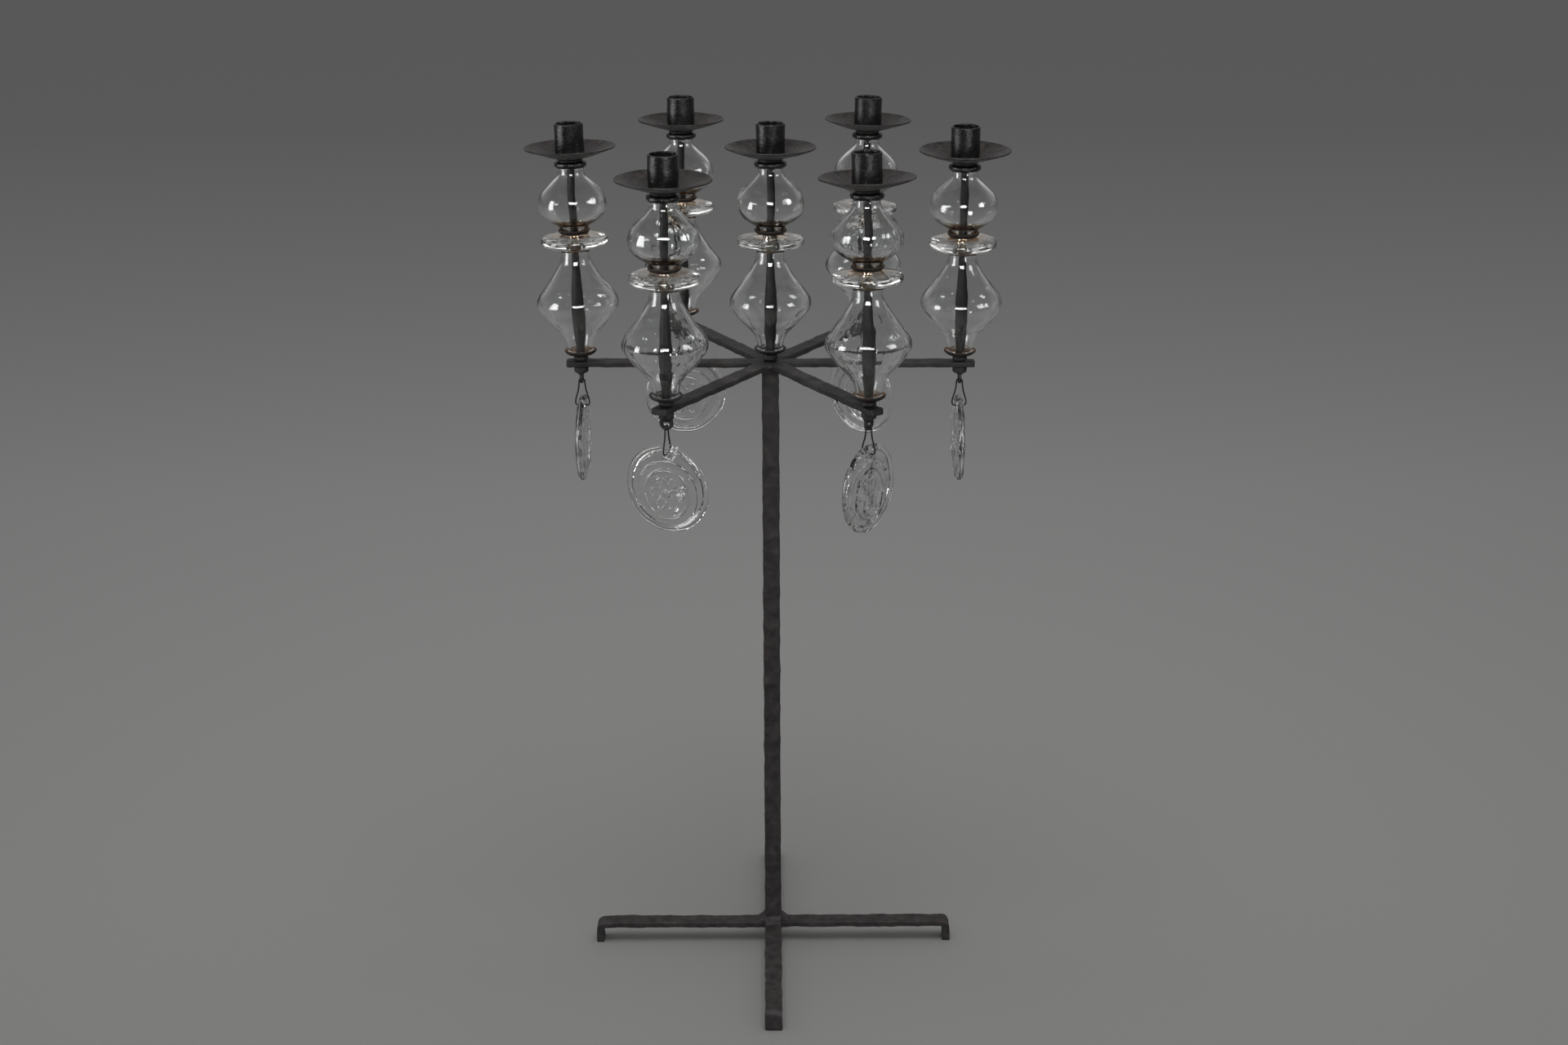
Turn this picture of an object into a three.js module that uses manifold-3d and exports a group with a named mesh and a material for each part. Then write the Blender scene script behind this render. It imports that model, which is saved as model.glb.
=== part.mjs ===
// A floor candelabra: seven candle units of iron and glass on a six-armed star, a square stem and a cross
// base, with a glass medallion hanging under each outer candle.
// Millimetres, +Z up. The origin is on the floor under the stem's axis, and +X points to the right-hand arm.
import * as THREE from "three";
import { mergeVertices } from "three/addons/utils/BufferGeometryUtils.js";
import Module from "manifold-3d";

const wasm = await Module();
wasm.setup();

// Clearances
const seatGap = 0.3; // between pieces that stand on each other
const shankGap = 0.3; // between a shank or rod and its hole, on the radius
const lapGap = 0.3; // between bars that are let into each other

// Cross base: two flat bars with their ends bent down as feet
const baseSpan = 519;
const baseBarWidth = 24;
const baseBarThickness = 9.5;
const baseClearance = 22; // floor to the underside of the bars
const footThickness = 11.5;
const footBendRadius = 13;

// Stem: a square bar with a weld fillet at each end
const stemSize = 23.5;
const stemHeight = 840.5;
const footWeldReach = 9;
const footWeldHeight = 10;
const headWeldReach = 3;
const headWeldHeight = 8;
const stemSocketDepth = 18; // hole in the stem head that holds the middle spindle

// Star of three flat bars
const armReach = 256; // stem axis to candle axis
const armOverhang = 20; // bar beyond the candle axis
const armWidth = 22.5;
const armThickness = 8;
const armEndRadius = 5;
const starTurn = -1; // degrees about the stem

// Spindle under and on the arm
const shankRadius = 5;
const blockRadius = 9.75;
const blockHeight = 7.5;
const eyeTaper = 4.5;
const eyeLength = 24; // arm underside to the bottom of the eye
const eyeWidth = 18.5;
const eyeThickness = 4.4;
const eyeHoleWidth = 10;
const eyeHoleHeight = 7.6;
const eyeBarHeight = 4; // iron under the hole, which the wire hangs on
const eyeChamfer = 1.2;
const bossRadius = 9.85;
const bossHeight = 6.7;
const middleBossExtra = 2.7; // the middle boss is taller by this, and its lower glass shorter

// Saucer and rod, which lean together
const saucerRadius = 21.5;
const saucerDepth = 8.3;
const saucerWall = 1.5;
const saucerFootInset = 1.5; // how far the saucer's foot stands in from the boss
const rodRadius = 4.9;
const rodBellyRadius = 7.5;
const rodBellyLow = 52; // heights of the rod's thick stretch above the saucer
const rodBellyHigh = 74;
const rodNeckHeight = 118;

// Lower glass: a hollow top shape. The flanks would meet at the keel radius, and the rounding takes it in.
const lowerMouthRadius = 17.5;
const lowerFlankRadius = 19.5;
const lowerKeelRadius = 57.5;
const lowerNeckRadius = 19.2;
const lowerRimRadius = 18.7;
const lowerFlankHeight = 15;
const lowerKeelHeight = 66.5;
const lowerNeckHeight = 120.5;
const lowerHeight = 136.8;
const lowerKeelRound = 10;
const lowerNeckRound = 12;
const glassWall = 2.8;

// Iron ferrule through the glass disc: a thin washer below, a bush, and a dish on top
const washerRadius = 21;
const washerThickness = 2;
const bushWall = 2.4;
const dishRadius = 21.5;
const dishFootRadius = 17; // flat foot of the dish on the disc
const dishFloorRadius = 19; // where the wall begins inside
const dishDepth = 5.6;
const dishWall = 1.5;

// Glass disc: a lens with a flat middle and a narrow band round its rim
const discRadius = 44.7;
const discThickness = 20.3;
const discFlatRadius = 20;
const discShoulderRadius = 40.5;
const discShoulderInset = 3.6; // from either flat face to the shoulder's height
const discBand = 4;

// Upper glass: a hollow onion shape
const upperMouthRadius = 17.5;
const upperFootRadius = 18;
const upperBellyRadius = 45.3;
const upperNeckRadius = 17.3;
const upperRimRadius = 16.7;
const upperFootHeight = 5.4;
const upperBellyLow = 23.9;
const upperBellyHigh = 48.9;
const upperNeckHeight = 76.4;
const upperHeight = 86.2;
const upperBellyRound = 12;

// Candle cup: collar, drip pan and socket
const collarRadius = 21.5;
const collarThickness = 7.5;
const collarRound = 2.5;
const hubRadius = 16;
const hubHeight = 5;
const panRadius = 60.5;
const panDepth = 14.5;
const panWall = 2;
const socketRadius = 19.1;
const socketWall = 2.1;
const socketHeight = 43.5; // from the pan's floor to the top
const seatThickness = 4; // iron between the rod's end and the socket floor

// Pendant: a bent wire hanger and a pressed glass medallion
const wireRadius = 1.05;
const bendGap = 0.55; // between the eye's bar and the inside of the wire's bend
const legGap = 3.7; // between a leg of the hanger and the medallion's face
const hangerDrop = 33; // from the eye's bar to the hooks
const hookRadius = 3;
const hookEnd = 1.3; // half the space between the two hook ends inside the medallion
const medallionRadius = 58.5;
const medallionThickness = 9;
const medallionEdge = 2.5;
const medallionHoleRadius = 3.5;
const medallionHoleInset = 14.5; // rim to the middle of the hole

// How finely round pieces are faceted
const glassSides = 14;
const cupSides = 14;
const ironSides = 10;
const wireSteps = 3;
const bendStations = 6;
const medallionSides = 20;
const holeSides = 8;
const outerSteps = 2;
const innerSteps = 1;

// Each unit's arm direction, the lean of its candle towards +X and +Y, the turn of its eye and pendant away
// from the arm, all in degrees, and by how much its lower glass is short above and below the keel.
const units = [
  { name: "right", turn: 0, lean: [0.1, -1.5], twist: 2, shorter: 3, raised: 0 },
  { name: "back_right", turn: 60, lean: [1.3, 0.2], twist: -10, shorter: 0, raised: 0 },
  { name: "back_left", turn: 120, lean: [0, 0.6], twist: -25, shorter: 0, raised: 0 },
  { name: "left", turn: 180, lean: [-1.3, 0.5], twist: -2, shorter: 0, raised: 0 },
  { name: "front_left", turn: 240, lean: [0.4, -1], twist: 5, shorter: 0, raised: 0 },
  { name: "front_right", turn: 300, lean: [-0.9, 1.5], twist: 27, shorter: 0, raised: 0 },
];
const middleUnit = { name: "centre", turn: 0, lean: [0.3, 0], shorter: 0, raised: middleBossExtra };

const degrees = THREE.MathUtils.degToRad;

function finish(color, roughness, metalness, extra = {}) {
  return new THREE.MeshStandardMaterial({ color, roughness, metalness, flatShading: true, ...extra });
}

const forgedIron = finish(0x1d1917, 0.6, 0.8);
const blackIron = finish(0x121212, 0.4, 0.8);
const rustyIron = finish(0x2e1f17, 0.75, 0.6);
const wireIron = finish(0x151414, 0.5, 0.8);
const clearGlass = finish(0xdfe6e4, 0.03, 0, { transparent: true, opacity: 0.3 });
const thickGlass = finish(0xe6ebe6, 0.03, 0, { transparent: true, opacity: 0.45 });

const root = new THREE.Group();

function addMesh(parent, name, geometry, material) {
  const mesh = new THREE.Mesh(geometry, material);
  mesh.name = name;
  parent.add(mesh);
  return mesh;
}

// Solids for joining and cutting

function toSolid(geometry) {
  const bare = geometry.index ? geometry.toNonIndexed() : geometry.clone();
  bare.deleteAttribute("normal");
  bare.deleteAttribute("uv");
  const merged = mergeVertices(bare, 1e-3);
  return new wasm.Manifold(
    new wasm.Mesh({
      numProp: 3,
      vertProperties: merged.attributes.position.array,
      triVerts: new Uint32Array(merged.index.array),
    }),
  );
}

function toGeometry(solid) {
  const mesh = solid.getMesh();
  const geometry = new THREE.BufferGeometry();
  geometry.setAttribute("position", new THREE.BufferAttribute(mesh.vertProperties, mesh.numProp));
  geometry.setIndex(new THREE.BufferAttribute(mesh.triVerts, 1));
  geometry.computeVertexNormals();
  return geometry;
}

function join(...geometries) {
  const solids = geometries.map(toSolid);
  return toGeometry(solids.reduce((whole, solid) => whole.add(solid)));
}

function cut(geometry, ...cutters) {
  const solids = [geometry, ...cutters].map(toSolid);
  return toGeometry(solids.reduce((whole, solid) => whole.subtract(solid)));
}

// Shapes

// A solid turned about Z from a closed outline of [radius, height] points.
function turned(outline, sides) {
  const profile = outline.map(([radius, height]) => new THREE.Vector2(radius, height));
  return new THREE.LatheGeometry(profile, sides).rotateX(Math.PI / 2);
}

function roundBar(radius, low, high, sides) {
  const outline = [
    [0, low],
    [radius, low],
    [radius, high],
    [0, high],
  ];
  return turned(outline, sides);
}

function box(sizeX, sizeY, low, high) {
  return new THREE.BoxGeometry(sizeX, sizeY, high - low).translate(0, 0, (low + high) / 2);
}

// A flat plate of an outline in X and Y, centred on Z = 0.
function plate(shape, thickness, edge = 0) {
  const core = thickness - 2 * edge;
  const options = {
    depth: core,
    bevelEnabled: edge > 0,
    bevelThickness: edge,
    bevelSize: edge,
    bevelOffset: -edge,
    bevelSegments: 1,
    curveSegments: 4,
  };
  return new THREE.ExtrudeGeometry(shape, options).translate(0, 0, -core / 2);
}

// Stands a plate up: its outline's X and Y become Y and Z, and its thickness lies along X.
function facingX(geometry) {
  const basis = new THREE.Matrix4().makeBasis(
    new THREE.Vector3(0, 1, 0),
    new THREE.Vector3(0, 0, 1),
    new THREE.Vector3(1, 0, 0),
  );
  return geometry.applyMatrix4(basis);
}

// Stands a plate up: its outline's Y becomes Z, and its thickness lies along Y.
function facingY(geometry) {
  return geometry.rotateX(Math.PI / 2);
}

// Points round a circle whose facets touch the radius from outside.
function ringPoints(radius, count, x = 0, y = 0) {
  const corner = radius / Math.cos(Math.PI / count);
  return Array.from({ length: count }, (_, k) => {
    const angle = (2 * Math.PI * (k + 0.5)) / count;
    return new THREE.Vector2(x + corner * Math.cos(angle), y + corner * Math.sin(angle));
  });
}

// An outline through corners [radius, height, rounding]. The outline leaves a corner with a rounding that far
// before it and comes back that far after it, with a smooth curve between.
function roundedOutline(corners, steps) {
  const points = corners.map(([radius, height]) => new THREE.Vector2(radius, height));
  const towards = (from, to, length) => from.clone().add(to.clone().sub(from).setLength(length));
  const path = new THREE.Path();
  path.moveTo(points[0].x, points[0].y);
  corners.slice(1).forEach(([radius, height, rounding], k) => {
    const here = points[k + 1];
    if (!rounding) {
      path.lineTo(radius, height);
      return;
    }
    const before = towards(here, points[k], rounding);
    const after = towards(here, points[k + 2], rounding);
    path.lineTo(before.x, before.y);
    path.quadraticCurveTo(radius, height, after.x, after.y);
  });
  return path.getPoints(steps).map((point) => [point.x, point.y]);
}

// A blown glass, open at both ends, with an even wall.
function blownGlass(corners) {
  const outer = roundedOutline(corners, outerSteps);
  const insideCorners = corners.map(([radius, height, rounding]) => [radius - glassWall, height, rounding]);
  const inner = roundedOutline(insideCorners, innerSteps).reverse();
  return turned([...outer, ...inner, outer[0]], glassSides);
}

// A tube along chosen stations, one ring of points at each.
class StationCurve extends THREE.Curve {
  constructor(stations) {
    super();
    this.stations = stations;
  }

  getPoint(t, target = new THREE.Vector3()) {
    const last = this.stations.length - 1;
    const index = Math.min(Math.floor(t * last), last - 1);
    return target.copy(this.stations[index]).lerp(this.stations[index + 1], t * last - index);
  }

  getPointAt(u, target) {
    return this.getPoint(u, target);
  }

  getTangentAt(u, target) {
    return this.getTangent(u, target);
  }
}

function wireAlong(stations, radius) {
  const section = new THREE.Shape().absarc(0, 0, radius, 0, 2 * Math.PI, false);
  return new THREE.ExtrudeGeometry(section, {
    steps: stations.length - 1,
    curveSegments: wireSteps,
    extrudePath: new StationCurve(stations),
  });
}

// Base

const baseTop = baseClearance + baseBarThickness;

function baseBar() {
  const half = baseSpan / 2;
  const inside = half - footThickness;
  const outline = new THREE.Shape();
  outline.moveTo(-half, 0);
  outline.lineTo(-inside, 0);
  outline.lineTo(-inside, baseClearance);
  outline.lineTo(inside, baseClearance);
  outline.lineTo(inside, 0);
  outline.lineTo(half, 0);
  const bendX = half - footBendRadius;
  const bendZ = baseTop - footBendRadius;
  outline.absarc(bendX, bendZ, footBendRadius, 0, Math.PI / 2, false);
  outline.absarc(-bendX, bendZ, footBendRadius, Math.PI / 2, Math.PI, false);
  outline.closePath();
  return facingY(plate(outline, baseBarWidth));
}

const lapWidth = baseBarWidth + 2 * lapGap;
const lapMiddle = baseClearance + baseBarThickness / 2;
const upperHalf = box(lapWidth, lapWidth, lapMiddle - lapGap / 2, baseTop + lapGap);
const lowerHalf = box(lapWidth, lapWidth, baseClearance - lapGap, lapMiddle + lapGap / 2);
addMesh(root, "base_bar_side", cut(baseBar(), upperHalf), forgedIron);
addMesh(root, "base_bar_front", cut(baseBar().rotateZ(Math.PI / 2), lowerHalf), forgedIron);

// Stem

const stemTop = baseTop + stemHeight;

// A weld bead along two opposite faces of the stem, thickest where it meets the other bar.
function weldFillet(reach, height) {
  const half = stemSize / 2;
  const outline = new THREE.Shape();
  outline.moveTo(-half - reach, 0);
  outline.lineTo(half + reach, 0);
  outline.quadraticCurveTo(half, 0, half, height);
  outline.lineTo(-half, height);
  outline.quadraticCurveTo(-half, 0, -half - reach, 0);
  return facingY(plate(outline, stemSize));
}

const stem = join(
  box(stemSize, stemSize, baseTop, stemTop),
  weldFillet(footWeldReach, footWeldHeight).translate(0, 0, baseTop),
  weldFillet(footWeldReach, footWeldHeight).rotateZ(Math.PI / 2).translate(0, 0, baseTop),
  weldFillet(headWeldReach, headWeldHeight).rotateX(Math.PI).translate(0, 0, stemTop),
  weldFillet(headWeldReach, headWeldHeight).rotateX(Math.PI).rotateZ(Math.PI / 2).translate(0, 0, stemTop),
);
const shankHoleRadius = shankRadius + shankGap;
const stemSocketLow = stemTop - stemSocketDepth - seatGap;
const stemSocket = roundBar(shankHoleRadius, stemSocketLow, stemTop + seatGap, ironSides);
addMesh(root, "stem", cut(stem, stemSocket), forgedIron);

// Star

const armTop = stemTop + armThickness;
const star = new THREE.Group();
star.position.z = armTop;
star.rotation.z = degrees(starTurn);
root.add(star);

function armBar() {
  const x = armReach + armOverhang - armEndRadius;
  const y = armWidth / 2 - armEndRadius;
  const outline = new THREE.Shape();
  outline.absarc(x, y, armEndRadius, 0, Math.PI / 2, false);
  outline.absarc(-x, y, armEndRadius, Math.PI / 2, Math.PI, false);
  outline.absarc(-x, -y, armEndRadius, Math.PI, 1.5 * Math.PI, false);
  outline.absarc(x, -y, armEndRadius, 1.5 * Math.PI, 2 * Math.PI, false);
  outline.closePath();
  for (const place of [-armReach, 0, armReach]) {
    outline.holes.push(new THREE.Path(ringPoints(shankHoleRadius, holeSides, place, 0)));
  }
  return plate(outline, armThickness).translate(0, 0, -armThickness / 2);
}

// The space that another bar takes out of this one where they cross, between two heights.
function crossingBar(turn, low, high) {
  return box(armReach, armWidth + 2 * lapGap, low, high).rotateZ(degrees(turn));
}

const lowLap = -(2 * armThickness) / 3;
const highLap = -armThickness / 3;
const below = -armThickness - lapGap;
const above = lapGap;
const armBars = [
  {
    name: "arm_bar_a",
    turn: 0,
    cuts: [
      [60, lowLap - lapGap / 2, above],
      [120, lowLap - lapGap / 2, above],
    ],
  },
  {
    name: "arm_bar_b",
    turn: 60,
    cuts: [
      [-60, below, lowLap + lapGap / 2],
      [60, highLap - lapGap / 2, above],
    ],
  },
  {
    name: "arm_bar_c",
    turn: 120,
    cuts: [
      [-120, below, lowLap + lapGap / 2],
      [-60, below, highLap + lapGap / 2],
    ],
  },
];
for (const { name, turn, cuts } of armBars) {
  const bar = cut(armBar(), ...cuts.map(([across, low, high]) => crossingBar(across, low, high)));
  addMesh(star, name, bar, forgedIron).rotation.z = degrees(turn);
}

// Candle units. Heights are above the top of the arm.

const bossTop = seatGap + bossHeight;
const rodHoleRadius = rodRadius + shankGap;

// A shallow cone's inside height at a radius, above its floor at the rod.
function slopeHeight(radius, rimRadius, depth, wall) {
  return wall + ((radius - rodRadius) * (depth - wall)) / (rimRadius - rodRadius);
}

function stackHeights({ shorter, raised }) {
  const at = {};
  at.saucer = bossTop + raised;
  at.lowerGlass = at.saucer + slopeHeight(lowerMouthRadius, saucerRadius, saucerDepth, saucerWall) + seatGap;
  at.washer = at.lowerGlass + lowerHeight - raised - shorter + seatGap;
  at.disc = at.washer + washerThickness + seatGap;
  at.dish = at.disc + discThickness + seatGap;
  at.upperGlass = at.dish + dishWall + seatGap;
  at.collar = at.upperGlass + upperHeight + seatGap;
  at.hub = at.collar + collarThickness;
  at.pan = at.hub + hubHeight;
  at.rodEnd = at.pan + panWall - seatThickness - seatGap;
  return at;
}

function spindleFoot() {
  const blockTop = -armThickness - seatGap;
  const blockBottom = blockTop - blockHeight;
  const taperBottom = blockBottom - eyeTaper;
  const body = turned(
    [
      [0, taperBottom],
      [eyeThickness / 2, taperBottom],
      [blockRadius, blockBottom],
      [blockRadius, blockTop],
      [shankRadius, blockTop],
      [shankRadius, seatGap],
      [bossRadius, seatGap],
      [bossRadius, bossTop],
      [0, bossTop],
    ],
    ironSides,
  );
  const eyeBottom = -armThickness - eyeLength;
  const half = eyeWidth / 2;
  const outline = new THREE.Shape();
  outline.moveTo(half, blockBottom + eyeChamfer);
  outline.lineTo(-half, blockBottom + eyeChamfer);
  outline.absarc(0, eyeBottom + half, half, Math.PI, 2 * Math.PI, false);
  outline.closePath();
  const hole = new THREE.Path();
  const holeMiddle = eyeBottom + eyeBarHeight + eyeHoleHeight / 2;
  hole.absellipse(0, holeMiddle, eyeHoleWidth / 2, eyeHoleHeight / 2, 0, 2 * Math.PI, true);
  outline.holes.push(hole);
  return join(body, facingX(plate(outline, eyeThickness, eyeChamfer)));
}

// The middle spindle has no eye: its shank goes through the hub into the stem.
function middleFoot() {
  return turned(
    [
      [0, -armThickness - stemSocketDepth],
      [shankRadius, -armThickness - stemSocketDepth],
      [shankRadius, seatGap],
      [bossRadius, seatGap],
      [bossRadius, bossTop + middleBossExtra],
      [0, bossTop + middleBossExtra],
    ],
    ironSides,
  );
}

// The saucer and the rod above it.
function spindleTop(at) {
  return turned(
    [
      [0, at.saucer - saucerFootInset],
      [bossRadius - saucerFootInset, at.saucer - saucerFootInset],
      [saucerRadius, at.saucer + saucerDepth - saucerWall],
      [saucerRadius, at.saucer + saucerDepth],
      [rodRadius, at.saucer + saucerWall],
      [rodBellyRadius, at.saucer + rodBellyLow],
      [rodBellyRadius, at.saucer + rodBellyHigh],
      [rodRadius, at.saucer + rodNeckHeight],
      [rodRadius, at.rodEnd],
      [0, at.rodEnd],
    ],
    ironSides,
  );
}

function lowerGlass(at, { shorter, raised }) {
  const corners = [
    [lowerMouthRadius, 0, 0],
    [lowerFlankRadius, lowerFlankHeight, 0],
    [lowerKeelRadius, lowerKeelHeight - raised, lowerKeelRound],
    [lowerNeckRadius, lowerNeckHeight - raised - shorter, lowerNeckRound],
    [lowerRimRadius, lowerHeight - raised - shorter, 0],
  ];
  return blownGlass(corners).translate(0, 0, at.lowerGlass);
}

function upperGlass(at) {
  const corners = [
    [upperMouthRadius, 0, 0],
    [upperFootRadius, upperFootHeight, 0],
    [upperBellyRadius, upperBellyLow, upperBellyRound],
    [upperBellyRadius, upperBellyHigh, upperBellyRound],
    [upperNeckRadius, upperNeckHeight, 0],
    [upperRimRadius, upperHeight, 0],
  ];
  return blownGlass(corners).translate(0, 0, at.upperGlass);
}

function glassDisc(at) {
  const holeRadius = rodHoleRadius + bushWall + shankGap;
  const bandLow = (discThickness - discBand) / 2;
  const outline = [
    [holeRadius, 0],
    [discFlatRadius, 0],
    [discShoulderRadius, discShoulderInset],
    [discRadius, bandLow],
    [discRadius, bandLow + discBand],
    [discShoulderRadius, discThickness - discShoulderInset],
    [discFlatRadius, discThickness],
    [holeRadius, discThickness],
    [holeRadius, 0],
  ];
  return turned(outline, glassSides).translate(0, 0, at.disc);
}

function ferrule(at) {
  const bushRadius = rodHoleRadius + bushWall;
  const washerTop = at.washer + washerThickness;
  const outline = [
    [rodHoleRadius, at.washer],
    [washerRadius, at.washer],
    [washerRadius, washerTop],
    [bushRadius, washerTop],
    [bushRadius, at.dish],
    [dishFootRadius, at.dish],
    [dishRadius, at.dish + dishDepth - dishWall],
    [dishRadius, at.dish + dishDepth],
    [dishFloorRadius, at.dish + dishWall],
    [rodHoleRadius, at.dish + dishWall],
    [rodHoleRadius, at.washer],
  ];
  return turned(outline, ironSides);
}

function candleCup(at) {
  const holeTop = at.rodEnd + seatGap;
  const panRim = at.pan + panDepth;
  const floor = at.pan + panWall;
  const outline = [
    [0, holeTop],
    [rodHoleRadius, holeTop],
    [rodHoleRadius, at.collar],
    [collarRadius - collarRound, at.collar],
    [collarRadius, at.collar + collarRound],
    [collarRadius, at.hub - collarRound],
    [hubRadius, at.hub],
    [hubRadius, at.pan],
    [panRadius, panRim - panWall],
    [panRadius, panRim],
    [socketRadius, floor],
    [socketRadius, floor + socketHeight],
    [socketRadius - socketWall, floor + socketHeight],
    [socketRadius - socketWall, floor],
    [0, floor],
  ];
  return turned(outline, cupSides);
}

function leaning([towardsX, towardsY]) {
  return new THREE.Quaternion().setFromEuler(new THREE.Euler(degrees(-towardsY), degrees(towardsX), 0));
}

function addCandle(unit, place, foot) {
  const { name, lean } = unit;
  const at = stackHeights(unit);
  const tilt = leaning(lean);
  const spindle = join(foot, spindleTop(at).applyQuaternion(tilt));
  addMesh(root, "spindle_" + name, spindle, forgedIron).position.copy(place);
  const candle = new THREE.Group();
  candle.position.copy(place);
  candle.quaternion.copy(tilt);
  root.add(candle);
  addMesh(candle, "lower_glass_" + name, lowerGlass(at, unit), clearGlass);
  addMesh(candle, "disc_ferrule_" + name, ferrule(at), rustyIron);
  addMesh(candle, "glass_disc_" + name, glassDisc(at), thickGlass);
  addMesh(candle, "upper_glass_" + name, upperGlass(at), clearGlass);
  addMesh(candle, "candle_cup_" + name, candleCup(at), blackIron);
}

// Pendants. Their own origin is the middle of the eye's bottom bar, with X along the hole.

const eyeBarMiddle = -armThickness - eyeLength + eyeBarHeight / 2;

function hanger() {
  const barCorner = Math.hypot(eyeThickness / 2, eyeBarHeight / 2 - eyeChamfer);
  const bendRadius = barCorner + bendGap + wireRadius;
  const hangerSpread = medallionThickness / 2 + legGap + wireRadius;
  const hookCorner = hookRadius * (1 - Math.SQRT1_2);
  const leg = [
    [hookEnd, -hangerDrop],
    [hangerSpread - hookRadius, -hangerDrop],
    [hangerSpread - hookCorner, hookCorner - hangerDrop],
    [hangerSpread, hookRadius - hangerDrop],
    [bendRadius, 0],
  ];
  const stepAngle = Math.PI / bendStations;
  const cornerRadius = bendRadius / Math.cos(stepAngle / 2);
  const bend = Array.from({ length: bendStations - 1 }, (_, k) => {
    const angle = Math.PI - stepAngle * (k + 1);
    return [cornerRadius * Math.cos(angle), cornerRadius * Math.sin(angle)];
  });
  const line = [...leg.map(([x, z]) => [-x, z]), ...bend, ...leg.reverse()];
  return wireAlong(
    line.map(([x, z]) => new THREE.Vector3(x, 0, z)),
    wireRadius,
  );
}

function medallion() {
  const holeMiddle = -hangerDrop - (medallionHoleRadius - wireRadius - seatGap);
  const middle = holeMiddle + medallionHoleInset - medallionRadius;
  const outline = new THREE.Shape(ringPoints(medallionRadius, medallionSides, 0, middle));
  outline.holes.push(new THREE.Path(ringPoints(medallionHoleRadius, holeSides, 0, holeMiddle)));
  return facingX(plate(outline, medallionThickness, medallionEdge));
}

for (const unit of units) {
  const angle = degrees(unit.turn + starTurn);
  const place = new THREE.Vector3(armReach * Math.cos(angle), armReach * Math.sin(angle), armTop);
  const facing = angle + degrees(unit.twist);
  addCandle(unit, place, spindleFoot().rotateZ(facing));
  const pendant = new THREE.Group();
  pendant.position.set(place.x, place.y, armTop + eyeBarMiddle);
  pendant.rotation.z = facing;
  root.add(pendant);
  addMesh(pendant, "hanger_" + unit.name, hanger(), wireIron);
  addMesh(pendant, "medallion_" + unit.name, medallion(), thickGlass);
}
addCandle(middleUnit, new THREE.Vector3(0, 0, armTop), middleFoot());

export default root;
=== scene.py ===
import math
import bpy
import numpy as np
from mathutils import Matrix


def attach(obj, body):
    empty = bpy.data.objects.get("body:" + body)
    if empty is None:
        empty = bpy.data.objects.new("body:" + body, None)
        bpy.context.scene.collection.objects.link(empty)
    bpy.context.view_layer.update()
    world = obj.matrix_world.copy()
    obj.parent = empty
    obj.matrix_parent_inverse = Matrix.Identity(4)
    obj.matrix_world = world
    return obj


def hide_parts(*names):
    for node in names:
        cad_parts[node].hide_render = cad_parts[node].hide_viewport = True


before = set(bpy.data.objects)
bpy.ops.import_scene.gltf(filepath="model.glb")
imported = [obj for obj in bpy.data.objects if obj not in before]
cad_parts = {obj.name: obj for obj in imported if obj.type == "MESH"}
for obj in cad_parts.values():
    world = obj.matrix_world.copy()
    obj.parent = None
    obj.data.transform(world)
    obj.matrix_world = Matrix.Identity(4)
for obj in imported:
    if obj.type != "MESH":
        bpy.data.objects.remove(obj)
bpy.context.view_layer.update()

# Sizes in the dictionaries are in millimetres, angles in degrees. The meshes are written in metres.
# +X is the right-hand arm, -Y is towards the viewer, +Z is up, and the floor is at 0.
turnFull = 2 * math.pi
millimetre = 0.001
black, white = (0, 0, 0), (1, 1, 1)


def smoothCurve(points, count):
    # Catmull-Rom curve through the points, then spaced evenly along its length.
    points = np.asarray(points, float)
    ends = np.vstack([2 * points[0] - points[1], points, 2 * points[-1] - points[-2]])
    t = np.linspace(0, len(points) - 1, 40 * len(points))
    k = np.minimum(t.astype(int), len(points) - 2)
    u = (t - k)[:, None]
    a, b, c, d = ends[k], ends[k + 1], ends[k + 2], ends[k + 3]
    square, cube = 2 * a - 5 * b + 4 * c - d, 3 * b - a - 3 * c + d
    curve = 0.5 * (2 * b + (c - a) * u + square * u ** 2 + cube * u ** 3)
    return evenly(curve, count)


def evenly(curve, count):
    # The same curve with its points spaced evenly along its length.
    length = np.append(0, np.cumsum(np.linalg.norm(np.diff(curve, axis=0), axis=1)))
    where = np.linspace(0, length[-1], count)
    return np.stack([np.interp(where, length, part) for part in curve.T], axis=1)


def arc(angle, x=0, y=0, wide=1, high=None):
    # x + wide * cos a, y + high * sin a.
    high = wide if high is None else high
    return np.stack([x + wide * np.cos(angle), y + high * np.sin(angle)], axis=1)


def roundedRectangle(width, height, corner, count):
    # Four quarter circles joined by straight sides, with points three times closer on the corners.
    cornerPoints, closer = 7, 3
    turn = np.linspace(0, math.pi / 2, cornerPoints)
    ring = []
    for k, (sx, sy) in enumerate([(1, 1), (-1, 1), (-1, -1), (1, -1)]):
        angle = turn + k * math.pi / 2
        ring.append(arc(angle, sx * (width / 2 - corner), sy * (height / 2 - corner), corner))
    ring = np.vstack(ring + [ring[0][:1]])
    step = np.linalg.norm(np.diff(ring, axis=0), axis=1)
    step[np.arange(len(step)) % cornerPoints != cornerPoints - 1] *= closer
    length = np.append(0, np.cumsum(step))
    where = np.linspace(0, length[-1], count, endpoint=False)
    return np.stack([np.interp(where, length, part) for part in ring.T], axis=1)


def ringAngles(columns):
    return np.linspace(0, turnFull, columns, endpoint=False)


def roundZ(radius, angle, height):
    # Points round Z: x = r cos a, y = r sin a, z = h.
    return np.stack([radius * np.cos(angle), radius * np.sin(angle), height + 0 * angle], axis=2)


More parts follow.
